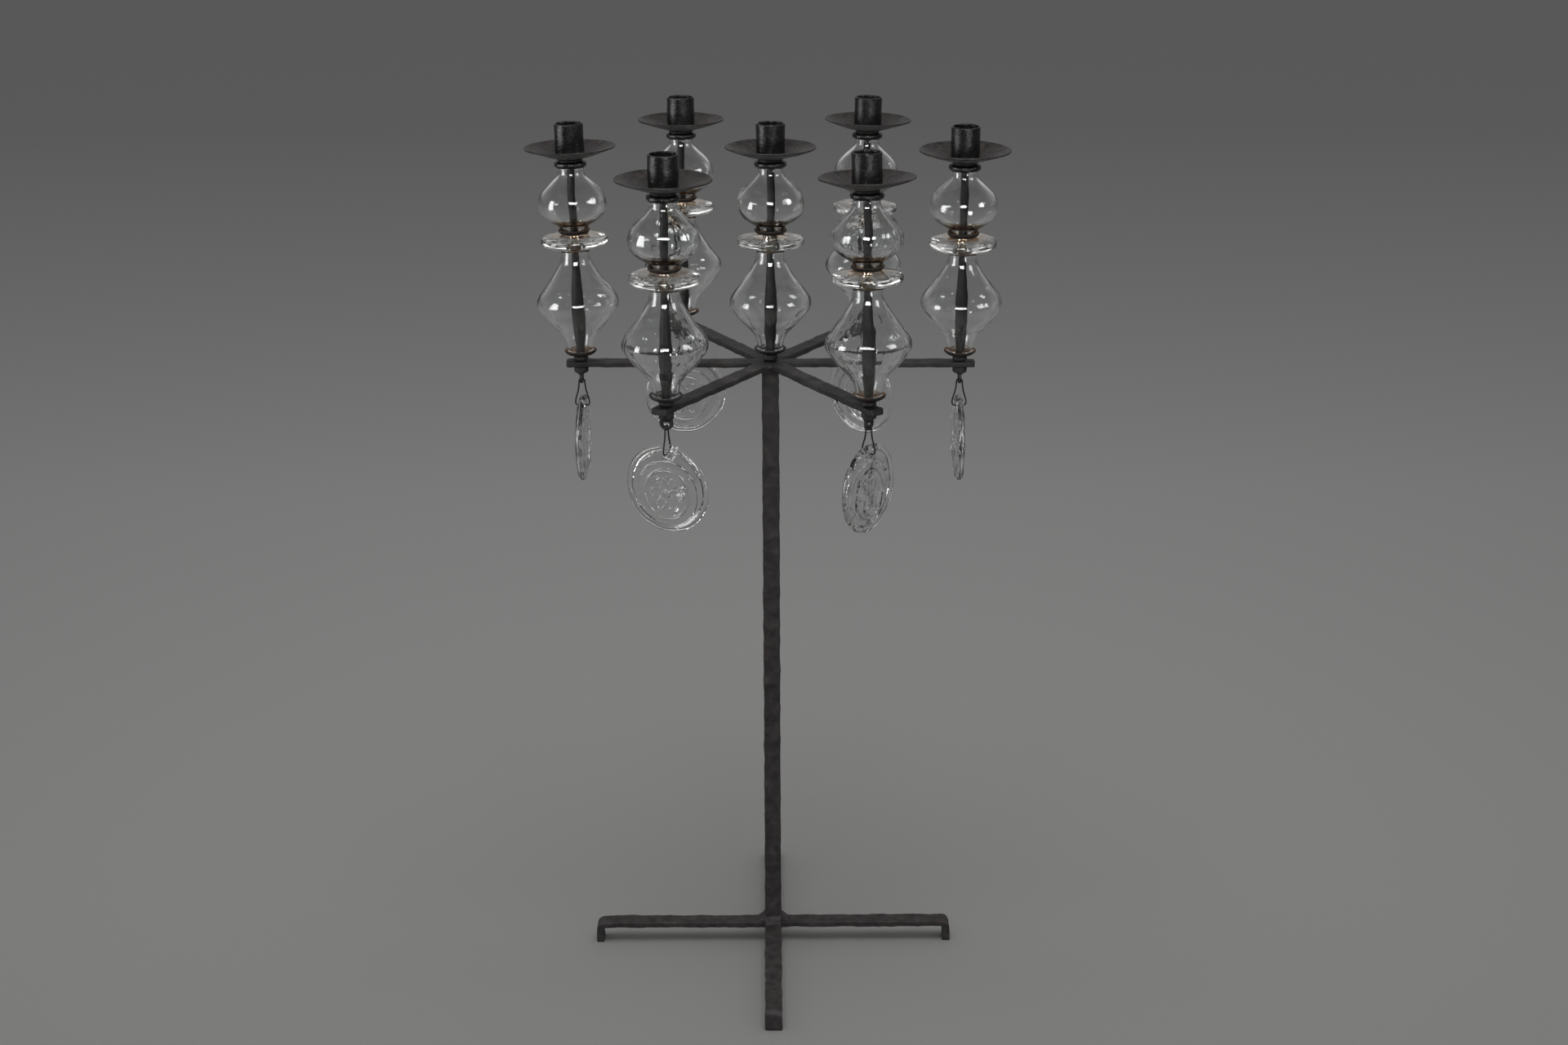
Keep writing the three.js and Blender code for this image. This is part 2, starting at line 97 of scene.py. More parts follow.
def turnedGrid(profile, columns):
    # A profile of radius and height carried round Z.
    return roundZ(profile[:, :1], ringAngles(columns), profile[:, 1:])


def sweptGrid(path, section, up):
    # A flat section carried along a path: point + section x * side + section y * lift.
    along = np.gradient(path, axis=0)
    along /= np.linalg.norm(along, axis=1, keepdims=True)
    side = np.cross(along, up)
    side /= np.linalg.norm(side, axis=1, keepdims=True)
    lift = np.cross(side, along)
    return path[:, None] + section[None, :, :1] * side[:, None] + section[None, :, 1:] * lift[:, None]


def gridNormals(grid, ringRows):
    # Cross product of the differences along columns and along rows, each of length 1.
    across = np.roll(grid, -1, axis=1) - np.roll(grid, 1, axis=1)
    along = np.roll(grid, -1, axis=0) - np.roll(grid, 1, axis=0) if ringRows else np.gradient(grid, axis=0)
    normal = np.cross(across, along)
    if ((grid - grid.mean(axis=(0, 1))) * normal).sum() < 0:
        normal = -normal
    return normal / np.maximum(np.linalg.norm(normal, axis=2, keepdims=True), 1e-9)


def waves(points, size, seed):
    # Sum of sine waves of about one length in all directions, with a mean square of 1.
    count, shortest, longest = 20, 0.7, 1.5
    draw = np.random.default_rng(seed)
    direction = draw.normal(size=(3, count))
    direction /= np.linalg.norm(direction, axis=0)
    wave = direction * turnFull / (size * draw.uniform(shortest, longest, count))
    return np.sin(points @ wave + draw.uniform(0, turnFull, count)).sum(-1) * math.sqrt(2 / count)


scatterTurns = np.array([[12.9898, 39.346, 73.156], [78.233, 11.135, 52.235], [37.719, 83.155, 9.151]])
scatterScale = 43758.5453


def bowls(points, size, seed):
    # Square of the distance to the nearest of the points scattered one to a cell: bowls that meet in ridges.
    # A point's place in its cell is the fraction of a large sine of the cell's number.
    cell = np.floor(points / size)
    nearest = np.full(points.shape[:-1], np.inf)
    for shift in np.ndindex(3, 3, 3):
        corner = cell + np.array(shift) - 1
        scattered = np.modf(np.sin(corner @ scatterTurns + seed) * scatterScale)[0] % 1
        gap = corner + scattered - points / size
        nearest = np.minimum(nearest, (gap ** 2).sum(-1))
    return np.minimum(nearest, 1)


def hammered(grid, look, seed, ringRows=False):
    # Moves a grid in and out: bowls left by the hammer, and a slow sway of the whole surface.
    bowlMean, swayLimit = 0.55, 2
    normal = gridNormals(grid, ringRows)
    dent = bowls(grid, look["dentSize"], seed)
    sway = np.clip(waves(grid, look["swaySize"], seed), -swayLimit, swayLimit) / swayLimit
    move = look["dentDepth"] * (dent - bowlMean) + look["sway"] * sway
    return grid + normal * move[..., None], dent


def bell(distance, at, width, high=1):
    # high * exp(-((d - at) / width)^2).
    return high * np.exp(-((distance - at) / width) ** 2)


def ledge(distance, at, width, high):
    # high * (1 + tanh((d - at) / width)) / 2, which falls where the width is below 0.
    return high * (0.5 + 0.5 * np.tanh((distance - at) / width))


def gridFaces(rows, columns, ringRows):
    # Four-sided faces between neighbouring rows and columns. Columns always close into a ring.
    row = np.arange(rows if ringRows else rows - 1)[:, None]
    column = np.arange(columns)[None]
    nextRow, nextColumn = (row + 1) % rows, (column + 1) % columns
    corners = [row * columns + column, row * columns + nextColumn,
               nextRow * columns + nextColumn, nextRow * columns + column]
    return np.stack(corners, axis=-1).reshape(-1, 4)


def addPiece(name, grid, look, nodes, ringRows=False, place=None, values=None, lay=None, body="root"):
    # Writes a grid as a mesh. A grid whose rows don't close gets a middle point and a fan at each end.
    material, slotName = look
    rows, columns = grid.shape[:2]
    points = grid.reshape(-1, 3)
    quads = gridFaces(rows, columns, ringRows)
    fans = np.zeros((0, 3), int)
    if not ringRows:
        points = np.vstack([points, grid[0].mean(axis=0), grid[-1].mean(axis=0)])
        column = np.arange(columns)
        following = (column + 1) % columns
        last = (rows - 1) * columns
        low = np.stack([following, column, np.full(columns, rows * columns)], axis=1)
        high = np.stack([last + column, last + following, np.full(columns, rows * columns + 1)], axis=1)
        fans = np.vstack([low, high])
    if place is not None:
        points = points @ place[0].T + place[1]
    triangles = np.vstack([quads[:, [0, 1, 2]], quads[:, [0, 2, 3]], fans])
    a, b, c = (points[triangles[:, k]] for k in range(3))
    if np.einsum("ij,ij->i", a, np.cross(b, c)).sum() < 0:
        quads, fans = quads[:, ::-1], fans[:, ::-1]
    mesh = bpy.data.meshes.new(name)
    loops = np.concatenate([quads.ravel(), fans.ravel()])
    sizes = np.concatenate([np.full(len(quads), 4), np.full(len(fans), 3)])
    mesh.vertices.add(len(points))
    mesh.vertices.foreach_set("co", (points * millimetre).ravel().astype(np.float32))
    mesh.loops.add(len(loops))
    mesh.loops.foreach_set("vertex_index", loops.astype(np.int32))
    mesh.polygons.add(len(sizes))
    mesh.polygons.foreach_set("loop_start", np.append(0, np.cumsum(sizes)[:-1]).astype(np.int32))
    mesh.polygons.foreach_set("loop_total", sizes.astype(np.int32))
    mesh.update(calc_edges=True)
    mesh.validate()
    mesh.polygons.foreach_set("use_smooth", np.ones(len(sizes), bool))
    if values is not None:
        wearRustAndPaintedLight = np.append(values.ravel(), np.zeros(len(points) - values.size)).astype(np.float32)
        mesh.attributes.new("wearRustAndPaintedLight", "FLOAT", "POINT").data.foreach_set("value", wearRustAndPaintedLight)
    piece = bpy.data.objects.new(name, mesh)
    bpy.context.scene.collection.objects.link(piece)
    mesh.materials.append(material)
    if lay is not None:
        lay = np.vstack([lay.reshape(-1, 3), np.zeros((len(points) - rows * columns, 3))]).astype(np.float32)
        mesh.attributes.new("lay", "FLOAT_VECTOR", "POINT").data.foreach_set("vector", lay.ravel())
    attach(piece, body)
    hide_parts(*nodes)


def newMaterial(name):
    material = bpy.data.materials.new(name)
    material.use_nodes = True
    tree = material.node_tree
    shader = tree.nodes["Principled BSDF"]
    return material, tree, shader


def addNode(tree, kind, links=(), **settings):
    # A node with its own settings, and links given as input name: (node, output name).
    node = tree.nodes.new("ShaderNode" + kind)
    for key, value in settings.items():
        if hasattr(node, key):
            setattr(node, key, value)
        else:
            node.inputs[key.replace("_", " ")].default_value = value
    for key, (source, output) in dict(links).items():
        tree.links.new(source.outputs[output], node.inputs[key])
    return node


def addMath(tree, operation, first, second):
    return addNode(tree, "Math", {0: first, 1: second}, operation=operation)


def addRange(tree, source, output, start=(0, 1), end=(0, 1)):
    # A straight line that carries the range start over to the range end, and stays level outside it.
    return addNode(tree, "MapRange", {"Value": (source, output)},
                   From_Min=start[0], From_Max=start[1], To_Min=end[0], To_Max=end[1])


def addNoise(tree, place, scale, detail, roughness=0.5):
    return addNode(tree, "TexNoise", {"Vector": place}, Scale=scale, Detail=detail, Roughness=roughness)


def addRamp(tree, source, output, places, colors):
    # A colour at each place from 0 to 1, with even blends between them.
    ramp = addNode(tree, "ValToRGB", {"Fac": (source, output)})
    elements = ramp.color_ramp.elements
    for k, (at, color) in enumerate(zip(places, colors)):
        stop = elements[k] if k < 2 else elements.new(at)
        stop.position = at
        stop.color = (*color, 1)
    return ramp


def addMix(tree, factor, first, second):
    # Mixes two colours. Each is an output or a plain colour.
    mix = tree.nodes.new("ShaderNodeMix")
    mix.data_type = "RGBA"
    tree.links.new(factor, mix.inputs[0])
    for socket, value in ((mix.inputs[6], first), (mix.inputs[7], second)):
        if isinstance(value, tuple):
            socket.default_value = (*value, 1)
        else:
            tree.links.new(value, socket)
    return mix.outputs[2]


ironStops = {"patches": (0.35, 0.68), "rustBlend": 0.14, "ridges": (0.45, 1.0), "broken": (0.36, 0.60),
             "gloss": (0.3, 0.7), "depths": (0.0012, 0.0004)}


def ironMaterial(name, look):
    # Dark iron: two tones in patches, rust in spots, a brighter colour where the mesh's share is high (worn
    # ridges, and on the rusty pieces rust painted brighter as painted light) broken up by the grain, and the
    # grain in gloss and bump.
    look = {**ironBasis, **look}
    material, tree, shader = newMaterial(name)
    place = (addNode(tree, "TexCoord"), "Object")
    laid = (addNode(tree, "Attribute", attribute_name="lay"), "Vector") if look["rays"] else place
    wearRustAndPaintedLight = addNode(tree, "Attribute", attribute_name="wearRustAndPaintedLight")
    rustScale, patchScale, grainScale = look["scales"]
    patches = addNoise(tree, laid, patchScale, 6.0, 0.6)
    rustSpots = addNoise(tree, place, rustScale, 8.0, 0.65)
    grain = addNoise(tree, place, grainScale, 5.0, 0.6)
    tone = addRamp(tree, patches, "Fac", ironStops["patches"], (look["dark"], look["light"]))
    rustPlaces = (look["rustFrom"], look["rustFrom"] + ironStops["rustBlend"])
    share = addRamp(tree, rustSpots, "Fac", rustPlaces, (black, white))
    rusty = addMix(tree, share.outputs["Color"], tone.outputs["Color"], look["rust"])
    ridgeAndPaintedLight = addRamp(tree, wearRustAndPaintedLight, "Fac", ironStops["ridges"], (black, (look["wearAndPaintedLight"],) * 3))
    broken = addRamp(tree, grain, "Fac", ironStops["broken"], ((look["even"],) * 3, white))
    bareShare = addMath(tree, "MULTIPLY", (ridgeAndPaintedLight, "Color"), (broken, "Color"))
    color = addMix(tree, bareShare.outputs[0], rusty, look["bare"])
    tree.links.new(color, shader.inputs["Base Color"])
    gloss = addRange(tree, grain, "Fac", ironStops["gloss"], look["roughness"])
    tree.links.new(gloss.outputs[0], shader.inputs["Roughness"])
    shader.inputs["Metallic"].default_value = look["metallic"]
    shader.inputs["Specular IOR Level"].default_value = look["specular"]
    coarse = addNode(tree, "Bump", {"Height": (patches, "Fac")}, Strength=look["bumps"][0],
                     Distance=ironStops["depths"][0])
    fine = addNode(tree, "Bump", {"Height": (grain, "Fac"), "Normal": (coarse, "Normal")},
                   Strength=look["bumps"][1], Distance=ironStops["depths"][1])
    tree.links.new(fine.outputs["Normal"], shader.inputs["Normal"])
    return material


# What a look doesn't name it takes from the first of these. The scales are those of rust, patches and grain.
ironBasis = {"metallic": 0.1, "specular": 0.3, "even": 1.0, "rays": False}
forgedLook = {
    "dark": (0.018, 0.016, 0.016), "light": (0.050, 0.045, 0.045), "bare": (0.13, 0.12, 0.118),
    "rust": (0.064, 0.041, 0.033), "rustFrom": 0.60, "scales": (22.0, 48.0, 620.0),
    "wearAndPaintedLight": 0.35, "roughness": (0.48, 0.68), "bumps": (0.45, 0.8),
}
blackLook = {
    "dark": (0.007, 0.007, 0.007), "light": (0.017, 0.016, 0.016), "bare": (0.10, 0.095, 0.09),
    "rust": (0.034, 0.022, 0.017), "rustFrom": 0.70, "scales": (30.0, 70.0, 480.0), "specular": 0.42,
    "wearAndPaintedLight": 0.25, "roughness": (0.13, 0.27), "bumps": (0.25, 1.4),
}
panLook = {
    "dark": (0.015, 0.014, 0.014), "light": (0.052, 0.046, 0.044), "bare": (0.08, 0.075, 0.07),
    "rust": (0.085, 0.060, 0.046), "rustFrom": 0.57, "scales": (75.0, 1.6, 380.0), "specular": 0.4,
    "wearAndPaintedLight": 0.3, "roughness": (0.40, 0.58), "bumps": (0.4, 0.7),
    "rays": True,
}
# The rods' iron is the forged iron painted darker: painted shade that takes off the light the glass lays over
# the rods.
rodPaintedShadeLook = {
    "dark": (0.005, 0.005, 0.005), "light": (0.022, 0.020, 0.020), "bare": (0.055, 0.053, 0.050),
    "rust": (0.03, 0.02, 0.016), "rustFrom": 0.66, "scales": (40.0, 90.0, 620.0), "specular": 0.15,
    "wearAndPaintedLight": 0.3, "roughness": (0.4, 0.6), "bumps": (0.3, 0.6),
    "metallic": 0.0,
}
stemLook = {
    "dark": (0.027, 0.023, 0.023), "light": (0.062, 0.054, 0.053), "bare": (0.15, 0.14, 0.135),
    "rust": (0.068, 0.051, 0.045), "rustFrom": 0.60, "scales": (34.0, 75.0, 560.0),
    "wearAndPaintedLight": 0.35, "roughness": (0.50, 0.70), "bumps": (0.5, 0.9),
}
bushLook = {
    "dark": (0.10, 0.09, 0.075), "light": (0.20, 0.185, 0.16), "bare": (0.2, 0.18, 0.15),
    "rust": (0.13, 0.075, 0.04), "rustFrom": 0.58, "scales": (90.0, 110.0, 700.0),
    "wearAndPaintedLight": 0.0, "roughness": (0.45, 0.72), "bumps": (0.5, 0.6),
}
# Rust whose bright colour is painted brighter than the rust itself: painted light that lifts the shade inside
# the dish, and a painted highlight under the dish.
rustAndPaintedLightLook = {
    "dark": (0.018, 0.014, 0.012), "light": (0.042, 0.026, 0.019), "bare": (0.42, 0.22, 0.11),
    "rust": (0.110, 0.056, 0.030), "rustFrom": 0.60, "scales": (70.0, 110.0, 260.0), "even": 0.25,
    "wearAndPaintedLight": 0.9, "roughness": (0.42, 0.72), "bumps": (0.5, 0.6),
}
wireLook = {
    "dark": (0.006, 0.006, 0.006), "light": (0.016, 0.014, 0.013), "bare": (0.1, 0.1, 0.1),
    "rust": (0.05, 0.03, 0.02), "rustFrom": 0.66, "scales": (90.0, 150.0, 900.0),
    "wearAndPaintedLight": 0.0, "roughness": (0.40, 0.60), "bumps": (0.2, 0.3),
}


def glassMaterial(name, look):
    # Clear glass with a faint tint, a slow ripple, and spots of rust where the mesh has them. Lamp light
    # passes it as it passes clear air, a little dimmed.
    material, tree, shader = newMaterial(name)
    shader.inputs["Base Color"].default_value = (*look["tint"], 1)
    shader.inputs["Transmission Weight"].default_value = 1.0
    shader.inputs["IOR"].default_value = 1.5
    shader.inputs["Roughness"].default_value = 0.0
    place = (addNode(tree, "TexCoord"), "Object")
    if "stain" in look:
        near = addNode(tree, "Attribute", attribute_name="wearRustAndPaintedLight")
        spots = addNoise(tree, place, look["stainScale"], 3.0)
        spotted = addRamp(tree, spots, "Fac", look["stainPlaces"], (black, white))
        share = addMath(tree, "MULTIPLY", (near, "Fac"), (spotted, "Color"))
        color = addMix(tree, share.outputs[0], look["tint"], look["stain"])
        tree.links.new(color, shader.inputs["Base Color"])
    ripple = addNoise(tree, place, look["rippleScale"], 2.0, 0.4)
    bump = addNode(tree, "Bump", {"Height": (ripple, "Fac")}, Strength=look["ripple"], Distance=millimetre)
    tree.links.new(bump.outputs["Normal"], shader.inputs["Normal"])
    clear = addNode(tree, "BsdfTransparent", Color=(*look["shade"], 1))
    path = addNode(tree, "LightPath")
    mix = addNode(tree, "MixShader", {0: (path, "Is Shadow Ray"), 1: (shader, "BSDF"), 2: (clear, "BSDF")})
    tree.links.new(mix.outputs[0], tree.nodes["Material Output"].inputs["Surface"])
    return material


clearGlassLook = {"tint": (0.985, 0.995, 0.99), "shade": (0.93, 0.94, 0.935),
                  "rippleScale": 60.0, "ripple": 0.12}
thickGlassLook = {"tint": (0.985, 0.985, 0.97), "shade": (0.86, 0.88, 0.87),
                  "rippleScale": 90.0, "ripple": 0.7,
                  "stain": (0.74, 0.50, 0.27), "stainScale": 130.0, "stainPlaces": (0.38, 0.54)}
pressedGlassLook = {"tint": (0.98, 0.985, 0.985), "shade": (0.86, 0.88, 0.87),
                    "rippleScale": 180.0, "ripple": 0.5}

# Each material with the name of its slot.
forgedIron = ironMaterial("forgedIron", forgedLook), "forged_iron"
blackIron = ironMaterial("blackIron", blackLook), "black_iron"
panIron = ironMaterial("panIron", panLook), "black_iron"
rodPaintedShadeIron = ironMaterial("rodPaintedShadeIron", rodPaintedShadeLook), "forged_iron"
stemIron = ironMaterial("stemIron", stemLook), "forged_iron"
rustAndPaintedLightIron = ironMaterial("rustAndPaintedLightIron", rustAndPaintedLightLook), "rusty_iron"
bushIron = ironMaterial("bushIron", bushLook), "rusty_iron"
wireIron = ironMaterial("wireIron", wireLook), "wire"
clearGlass = glassMaterial("clearGlass", clearGlassLook), "clear_glass"
thickGlass = glassMaterial("thickGlass", thickGlassLook), "thick_glass"
pressedGlass = glassMaterial("pressedGlass", pressedGlassLook), "pressed_glass"
print("materials made")


# Light that glass would gather on the iron inside it is left to the lamps' rays, which pass glass straight.
bpy.context.scene.cycles.caustics_refractive = False
bpy.context.scene.cycles.caustics_reflective = False
bpy.context.scene.view_settings.view_transform = "Standard"

cameraView = {"place": (0.0008, -3.035, 1.6966), "yaw": 0.32, "down": 19.07, "roll": -0.18, "lens": 53.23,
              "sensor": 36}


def setPlace(thing, *columns):
    # A thing's own right, up and back directions and its place are the columns of its matrix.
    matrix = Matrix.Identity(4)
    for k, column in enumerate(columns):
        for row in range(3):
            matrix[row][k] = column[row]
    thing.matrix_world = matrix


def addCamera():
    # Looks along (sin yaw cos down, cos yaw cos down, -sin down), then rolls about that line.
    yaw, down, roll = (math.radians(cameraView[key]) for key in ("yaw", "down", "roll"))
    forward = np.array([math.sin(yaw) * math.cos(down), math.cos(yaw) * math.cos(down), -math.sin(down)])
    right = np.array([math.cos(yaw), -math.sin(yaw), 0])
    up = np.cross(right, forward)
    rolledRight = right * math.cos(roll) + up * math.sin(roll)
    rolledUp = up * math.cos(roll) - right * math.sin(roll)
    data = bpy.data.cameras.new("camera")
    data.sensor_width = cameraView["sensor"]
    data.lens = cameraView["lens"]
    camera = bpy.data.objects.new("camera", data)
    bpy.context.scene.collection.objects.link(camera)
    setPlace(camera, rolledRight, rolledUp, -forward, cameraView["place"])
    bpy.context.scene.camera = camera


lampTarget = np.array([0, 0, 1.0])
lamps = {
    "front": {"turn": -3, "rise": 29, "distance": 3.6, "size": (1.8, 0.75), "power": 85, "mirrored": True},
    "left": {"turn": -74, "rise": 6, "distance": 2.6, "size": (0.9, 1.5), "power": 38, "mirrored": True},
    "right": {"turn": 64, "rise": 24, "distance": 2.6, "size": (0.9, 0.8), "power": 16, "mirrored": True},
    "strip": {"turn": 24, "rise": -4, "distance": 3.0, "size": (0.3, 0.9), "power": 20, "mirrored": True},
    "top": {"turn": 0, "rise": 80, "distance": 2.6, "size": (1.9, 1.9), "power": 46, "mirrored": False},
}


def dimStraightThrough(data):
    # A lamp seen straight through glass, without a reflection on the way, is dim like the room behind it.
    dimmed = 0.04
    data.use_nodes = True
    tree = data.node_tree
    path = addNode(tree, "LightPath")
    unmirrored = addNode(tree, "Math", {0: (path, "Glossy Depth")}, operation="LESS_THAN")
    unmirrored.inputs[1].default_value = 0.5
    straight = addMath(tree, "MULTIPLY", (unmirrored, 0), (path, "Is Transmission Ray"))
    strength = addRange(tree, straight, 0, end=(1, dimmed))
    tree.links.new(strength.outputs[0], tree.nodes["Emission"].inputs["Strength"])


def addLamps():
    # Soft boxes round the candles, turned from the viewer's side and raised from the level. The mirrored ones
    # show in glass and gloss only, the others light the floor and the dull sides of the iron.
    for name, lamp in lamps.items():
        turn, rise = math.radians(lamp["turn"]), math.radians(lamp["rise"])
        back = np.array([math.sin(turn) * math.cos(rise), -math.cos(turn) * math.cos(rise), math.sin(rise)])
        side = np.array([math.cos(turn), math.sin(turn), 0])
        data = bpy.data.lights.new(name, "AREA")
        data.shape = "RECTANGLE"
        data.size, data.size_y = lamp["size"]
        data.energy = lamp["power"]
        dimStraightThrough(data)
        box = bpy.data.objects.new(name, data)
        bpy.context.scene.collection.objects.link(box)
        setPlace(box, side, np.cross(back, side), back, lampTarget + lamp["distance"] * back)
        box.visible_diffuse = not lamp["mirrored"]
        box.visible_glossy = box.visible_transmission = lamp["mirrored"]


roomLook = {"light": 0.35, "through": 0.25, "front": 0.07, "high": 0.05, "glow": 0.50,
            "highFrom": 0.6, "band": (0.0, 0.15, 0.42, 0.7)}


def addRoom():
    # The sky lights evenly. Looked through, it is a plain grey. Mirrored, it is dark on the viewer's side and
    # higher up. Both have a brighter band behind the stand.
    world = bpy.data.worlds.new("room")
    bpy.context.scene.world = world
    world.use_nodes = True
    tree = world.node_tree
    tree.nodes.clear()
    place = addNode(tree, "TexCoord")
    part = addNode(tree, "SeparateXYZ", {0: (place, "Generated")})
    height, behind = addRange(tree, part, "Z"), addRange(tree, part, "Y")
    through, front, high, glow = ((roomLook[key],) * 3 for key in ("through", "front", "high", "glow"))
    mirrored = addRamp(tree, height, "Result", (0.0, roomLook["highFrom"]), (front, high))
    band = addRamp(tree, height, "Result", roomLook["band"], (black, white, white, black))
    share = addMath(tree, "MULTIPLY", (band, "Color"), (behind, "Result"))
    path = addNode(tree, "LightPath")
    plain = addMix(tree, path.outputs["Is Glossy Ray"], through, mirrored.outputs["Color"])
    seen = addMix(tree, share.outputs[0], plain, glow)
    glossy = addMath(tree, "MAXIMUM", (path, "Is Camera Ray"), (path, "Is Glossy Ray"))
    shown = addMath(tree, "MAXIMUM", (glossy, 0), (path, "Is Transmission Ray"))
    even = addNode(tree, "Background", Color=(1, 1, 1, 1), Strength=roomLook["light"])
    view = addNode(tree, "Background", Strength=1.0)
    tree.links.new(seen, view.inputs["Color"])
    mix = addNode(tree, "MixShader", {0: (shown, 0), 1: (even, 0), 2: (view, 0)})
    addNode(tree, "OutputWorld", {"Surface": (mix, 0)})


# Floor tones painted along the distance behind the stand: painted light, a brighter band behind the stand and
# darker far away.
floorLook = {"half": 30, "range": (-3, 27), "places": (0.08, 0.11, 0.17, 0.34),
             "paintedLightTones": ((0.297, 0.297, 0.289), (0.325, 0.325, 0.319), (0.363, 0.363, 0.361),
                       (0.27, 0.27, 0.27)),
             "roughness": 0.9, "specular": 0.1}


def addFloor():
    # The floor's tone follows the distance behind the stand, from 3 m in front of it to 27 m behind it:
    # painted light, brightest about 2 m behind the stand and darker far away.
    data = bpy.data.meshes.new("floor")
    half = floorLook["half"]
    corners = [(-half, -half, 0), (half, -half, 0), (half, half, 0), (-half, half, 0)]
    data.from_pydata(corners, [], [(0, 1, 2, 3)])
    floor = bpy.data.objects.new("floor", data)
    bpy.context.scene.collection.objects.link(floor)
    material, tree, shader = newMaterial("floorPaintedLight")
    place = addNode(tree, "TexCoord")
    part = addNode(tree, "SeparateXYZ", {0: (place, "Object")})
    behind = addRange(tree, part, "Y", floorLook["range"])
    tone = addRamp(tree, behind, "Result", floorLook["places"], floorLook["paintedLightTones"])
    tree.links.new(tone.outputs["Color"], shader.inputs["Base Color"])
    shader.inputs["Roughness"].default_value = floorLook["roughness"]
    shader.inputs["Specular IOR Level"].default_value = floorLook["specular"]
    data.materials.append(material)


addCamera()
addLamps()
addRoom()
addFloor()
print("camera, lamps and floor set")


forgedSurface = {"dentSize": 16.0, "dentDepth": 1.15, "swaySize": 46.0, "sway": 0.45}
baseSurface = {"dentSize": 13.0, "dentDepth": 1.4, "swaySize": 40.0, "sway": 0.6}

baseBar = {"span": 519, "width": 24, "thickness": 9.5, "clearance": 22, "foot": 11.5, "bend": 13, "inside": 3,
           "edge": 1.6, "columns": 44, "rows": 190, "bendRows": 14, "footRows": 8}


def baseBarGrid():
    # Stations along the bar, each a rounded rectangle between a point of the outer line and one of the inner.
    half, low = baseBar["span"] / 2, baseBar["clearance"]
    turn = np.linspace(0, math.pi / 2, baseBar["bendRows"])
    run = np.linspace(1, -1, baseBar["rows"])[1:-1]

    def sideLine(end, height, bend):
        # Up one foot, round a quarter circle, along the bar, and down the other foot.
        rise = np.linspace(0, height - bend, baseBar["footRows"])[:-1]
        foot = np.stack([end + 0 * rise, rise], axis=1)
        leg = np.vstack([foot, arc(turn, end - bend, height - bend, bend)])
        return np.vstack([leg, np.stack([run * leg[-1, 0], height + 0 * run], axis=1), leg[::-1] * [-1, 1]])

    outer = sideLine(half, low + baseBar["thickness"], baseBar["bend"])
    inner = sideLine(half - baseBar["foot"], low, baseBar["inside"])
    middle, reach = (outer + inner) / 2, outer - inner
    section = roundedRectangle(baseBar["width"], baseBar["thickness"], baseBar["edge"], baseBar["columns"])
    depth = section[:, 1] / baseBar["thickness"]
    grid = np.empty((len(outer), baseBar["columns"], 3))
    grid[..., 0] = middle[:, :1] + reach[:, :1] * depth
    grid[..., 2] = middle[:, 1:] + reach[:, 1:] * depth
    grid[..., 1] = section[:, 0]
    return grid


def turnedBy(degrees):
    # Turns round Z.
    cos, sin = math.cos(math.radians(degrees)), math.sin(math.radians(degrees))
    return np.array([[cos, -sin, 0], [sin, cos, 0], [0, 0, 1]])


baseBars = {"sideBaseBar": ("base_bar_side", 0, 3), "frontBaseBar": ("base_bar_front", 90, 4)}

for name, (node, turn, seed) in baseBars.items():
    grid, dent = hammered(baseBarGrid(), baseSurface, seed)
    grid[..., 0] = np.clip(grid[..., 0], -baseBar["span"] / 2, baseBar["span"] / 2)
    grid[..., 2] = np.clip(grid[..., 2], 0, None)
    addPiece(name, grid, stemIron, [node], place=(turnedBy(turn), 0), values=dent)

stemBar = {"size": 23.5, "low": 30.5, "high": 872.0, "edge": 2.2, "rows": 420, "columns": 52,
           "footReach": 1, "footHeight": 11, "headReach": 5, "headHeight": 12}


def stemGrid():
    # A rounded square going up, wider at its foot and head by reach * (1 - distance / height) squared.
    height = np.linspace(stemBar["low"], stemBar["high"], stemBar["rows"])
    ring = roundedRectangle(stemBar["size"], stemBar["size"], stemBar["edge"], stemBar["columns"])
    foot = np.clip(1 - (height - stemBar["low"]) / stemBar["footHeight"], 0, 1) ** 2 * stemBar["footReach"]
    head = np.clip(1 - (stemBar["high"] - height) / stemBar["headHeight"], 0, 1) ** 2 * stemBar["headReach"]
    wider = 1 + (foot + head)[:, None] / (stemBar["size"] / 2)
    return np.stack([ring[:, 0] * wider, ring[:, 1] * wider, height[:, None] + 0 * ring[:, 0]], axis=2)


grid, dent = hammered(stemGrid(), forgedSurface, 11)
addPiece("stemBar", grid, stemIron, ["stem"], values=dent)

starBars = {"reach": 276, "width": 22.5, "thickness": 8, "edge": 1.5, "endRound": 5, "endFlat": 0.8,
            "top": 880, "turn": -1, "rows": 300, "columns": 44}


def armGrid():
    # A rounded rectangle along X. Its width follows a quarter circle at each end, where it gets thinner too.
    x = np.concatenate([[-1], np.linspace(-1, 1, starBars["rows"]), [1]]) * starBars["reach"]
    fromEnd = starBars["reach"] - np.abs(x)
    inside = np.clip(starBars["endRound"] - fromEnd, 0, None)
    width = starBars["width"] - 2 * (starBars["endRound"] - np.sqrt(starBars["endRound"] ** 2 - inside ** 2))
    ring = roundedRectangle(starBars["width"], starBars["thickness"], starBars["edge"], starBars["columns"])
    flat = np.ones(len(x))
    flat[[0, -1]] = starBars["endFlat"]
    scale = width / starBars["width"] * flat
    wide, high = ring[:, 0] * scale[:, None], ring[:, 1] * flat[:, None]
    return np.stack([x[:, None] + 0 * ring[:, 0], wide, high], axis=2)


footWeld = {"rows": 44, "columns": 112, "half": 11.3, "fillet": 12.4, "high": 9.9, "low": 22.3, "round": 6,
            "levelRows": 8, "levelDrop": 0.3, "inset": 0.4, "hollow": 1.35, "trim": 0.97}


